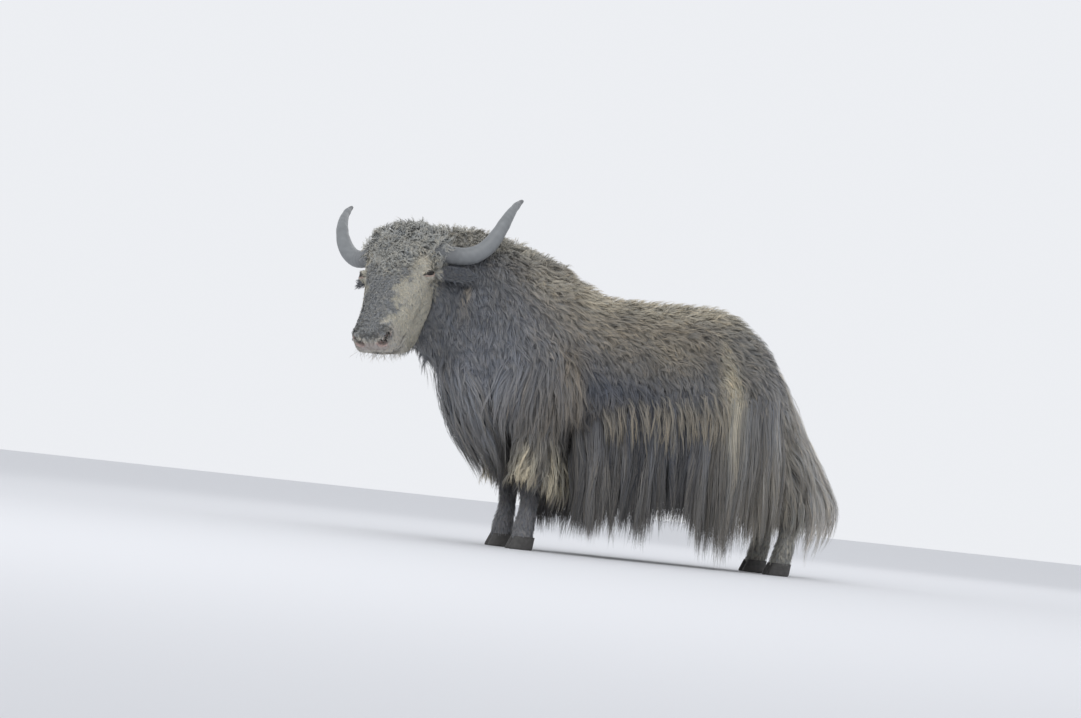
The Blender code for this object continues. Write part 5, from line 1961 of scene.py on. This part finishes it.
def hoof_finish() -> Material:
    """Dark hoof horn, matt and worn, with faint level ridges."""
    made = Finish("hoof_horn", 0.55, 0.4)
    noise = made.noise(60.0)
    ramp = made.node("ShaderNodeValToRGB", links={"Fac": noise})
    ramp.color_ramp.elements[0].color = (*linear("2e2d2d"), 1.0)
    ramp.color_ramp.elements[1].color = (*linear("5a5856"), 1.0)
    made.tree.links.new(ramp.outputs["Color"], made.shader.inputs["Base Color"])
    made.bump(noise, 0.3, 0.0012)
    return made.material


def eye_finish() -> Material:
    """A wet dark eye with a sharp highlight."""
    made = Finish("eye_cornea", 0.10, 0.25)
    made.painted(120.0, 0.9, 1.1)
    made.shader.inputs["Coat Weight"].default_value = 0.25
    made.shader.inputs["Coat Roughness"].default_value = 0.03
    return made.material


def floor_finish() -> Material:
    """A plain pale matt floor."""
    made = Finish("pale_floor", 0.9, 0.1)
    made.shader.inputs["Base Color"].default_value = (*linear("dcdde0"), 1.0)
    return made.material


@dataclass(frozen=True)
class Shot:
    """The photograph's camera: a long lens near the ground, well below the back and tipped to one side."""

    azimuth: float = 21.5
    distance: float = 12.0
    height: float = 0.22
    roll: float = 6.2
    aim_y: float = -0.5770251
    aim_z: float = 0.81488507
    lens: float = 92.03

    def place(self, frame: Frame) -> Object:
        """Adds the camera: level axes from the aim, then turned by the roll."""
        a, r = math.radians(self.azimuth), math.radians(self.roll)
        eye = np.array((math.cos(a) * self.distance, -math.sin(a) * self.distance, self.height))
        ahead = unit(np.array((0.0, self.aim_y, self.aim_z)) - eye)
        right = unit(np.cross(ahead, (0.0, 0.0, 1.0)))
        up = np.cross(right, ahead)
        turned = right * math.cos(r) + up * math.sin(r)
        upright = up * math.cos(r) - right * math.sin(r)
        data = bpy.data.cameras.new("camera")
        data.lens, data.sensor_width = self.lens, 36.0
        data.clip_end = 200.0
        camera = bpy.data.objects.new("camera", data)
        matrix = np.eye(4)
        matrix[:3, 0], matrix[:3, 1], matrix[:3, 2] = turned, upright, -ahead
        matrix[:3, 3] = eye + frame.shift
        camera.matrix_world = Matrix(matrix.tolist())
        bpy.context.scene.collection.objects.link(camera)
        bpy.context.scene.camera = camera
        return camera


class Studio:
    """A wide pale floor under an even bright sky, with one large soft lamp for form."""

    def build(self) -> None:
        """Adds the floor, the world and the lamps."""
        bpy.ops.mesh.primitive_plane_add(size=120.0)
        floor = bpy.context.object
        floor.name = "floor"
        floor.data.materials.append(floor_finish())
        floor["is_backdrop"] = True
        world = bpy.data.worlds.new("sky")
        world.use_nodes = True
        world.node_tree.nodes["Background"].inputs["Color"].default_value = (*linear("f2f4f8"), 1.0)
        world.node_tree.nodes["Background"].inputs["Strength"].default_value = 0.95
        bpy.context.scene.world = world
        self.lamp("key", (5.0, -4.0, 6.0), 6.0, 170.0)
        self.lamp("rim", (-4.0, 3.0, 5.0), 5.0, 60.0)
        view = bpy.context.scene.view_settings
        view.view_transform = "Standard"

    @staticmethod
    def lamp(name: str, place: tuple, size: float, power: float) -> None:
        """A square lamp aimed at the animal's middle."""
        data = bpy.data.lights.new(name, "AREA")
        data.size, data.energy = size, power
        lamp = bpy.data.objects.new(name, data)
        lamp.location = place
        lamp.rotation_euler = (Vector((0.0, 0.0, 0.7)) - Vector(place)).to_track_quat("-Z", "Y").to_euler()
        bpy.context.scene.collection.objects.link(lamp)


FLESH = (
    "head", "neck", "bib", "forequarters", "trunk", "hindquarters", "skirt_left", "skirt_right",
    "foreleg_left", "foreleg_right", "hindleg_left", "hindleg_right", "tail", "ear_left", "ear_right",
)
FORE_FOOT = (0.140, -0.612)
HIND_FOOT = (0.130, 0.578)


def main() -> None:
    """Builds the animal in order, from the frame to the coat."""
    logging.basicConfig(level=logging.INFO, format="%(name)s: %(message)s")
    frame = Frame()
    Shot().place(frame)
    Studio().build()
    markings = Markings()
    skins = Skins(frame, skin_finish())
    skins.colour(markings, frame)
    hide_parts(*FLESH)
    pieces = [skins.object]
    LOG.info("skin: %d faces", len(skins.object.data.polygons))
    horn, eye, hoof = horn_finish(), eye_finish(), hoof_finish()
    for side in Side:
        pieces.append(Horn().build(frame, side, horn))
        pieces.append(Eyeball().build(frame, side, eye))
        for end, foot in (("fore", FORE_FOOT), ("hind", HIND_FOOT)):
            for outward in (1.0, -1.0):
                pieces.append(Claw().build(frame, end, foot, side, outward, hoof))
    coat = Coat(frame, skins, markings, coat_finish()).dress()
    for piece in [*pieces, *coat]:
        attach(piece, "root")


if __name__ == "__main__":
    main()
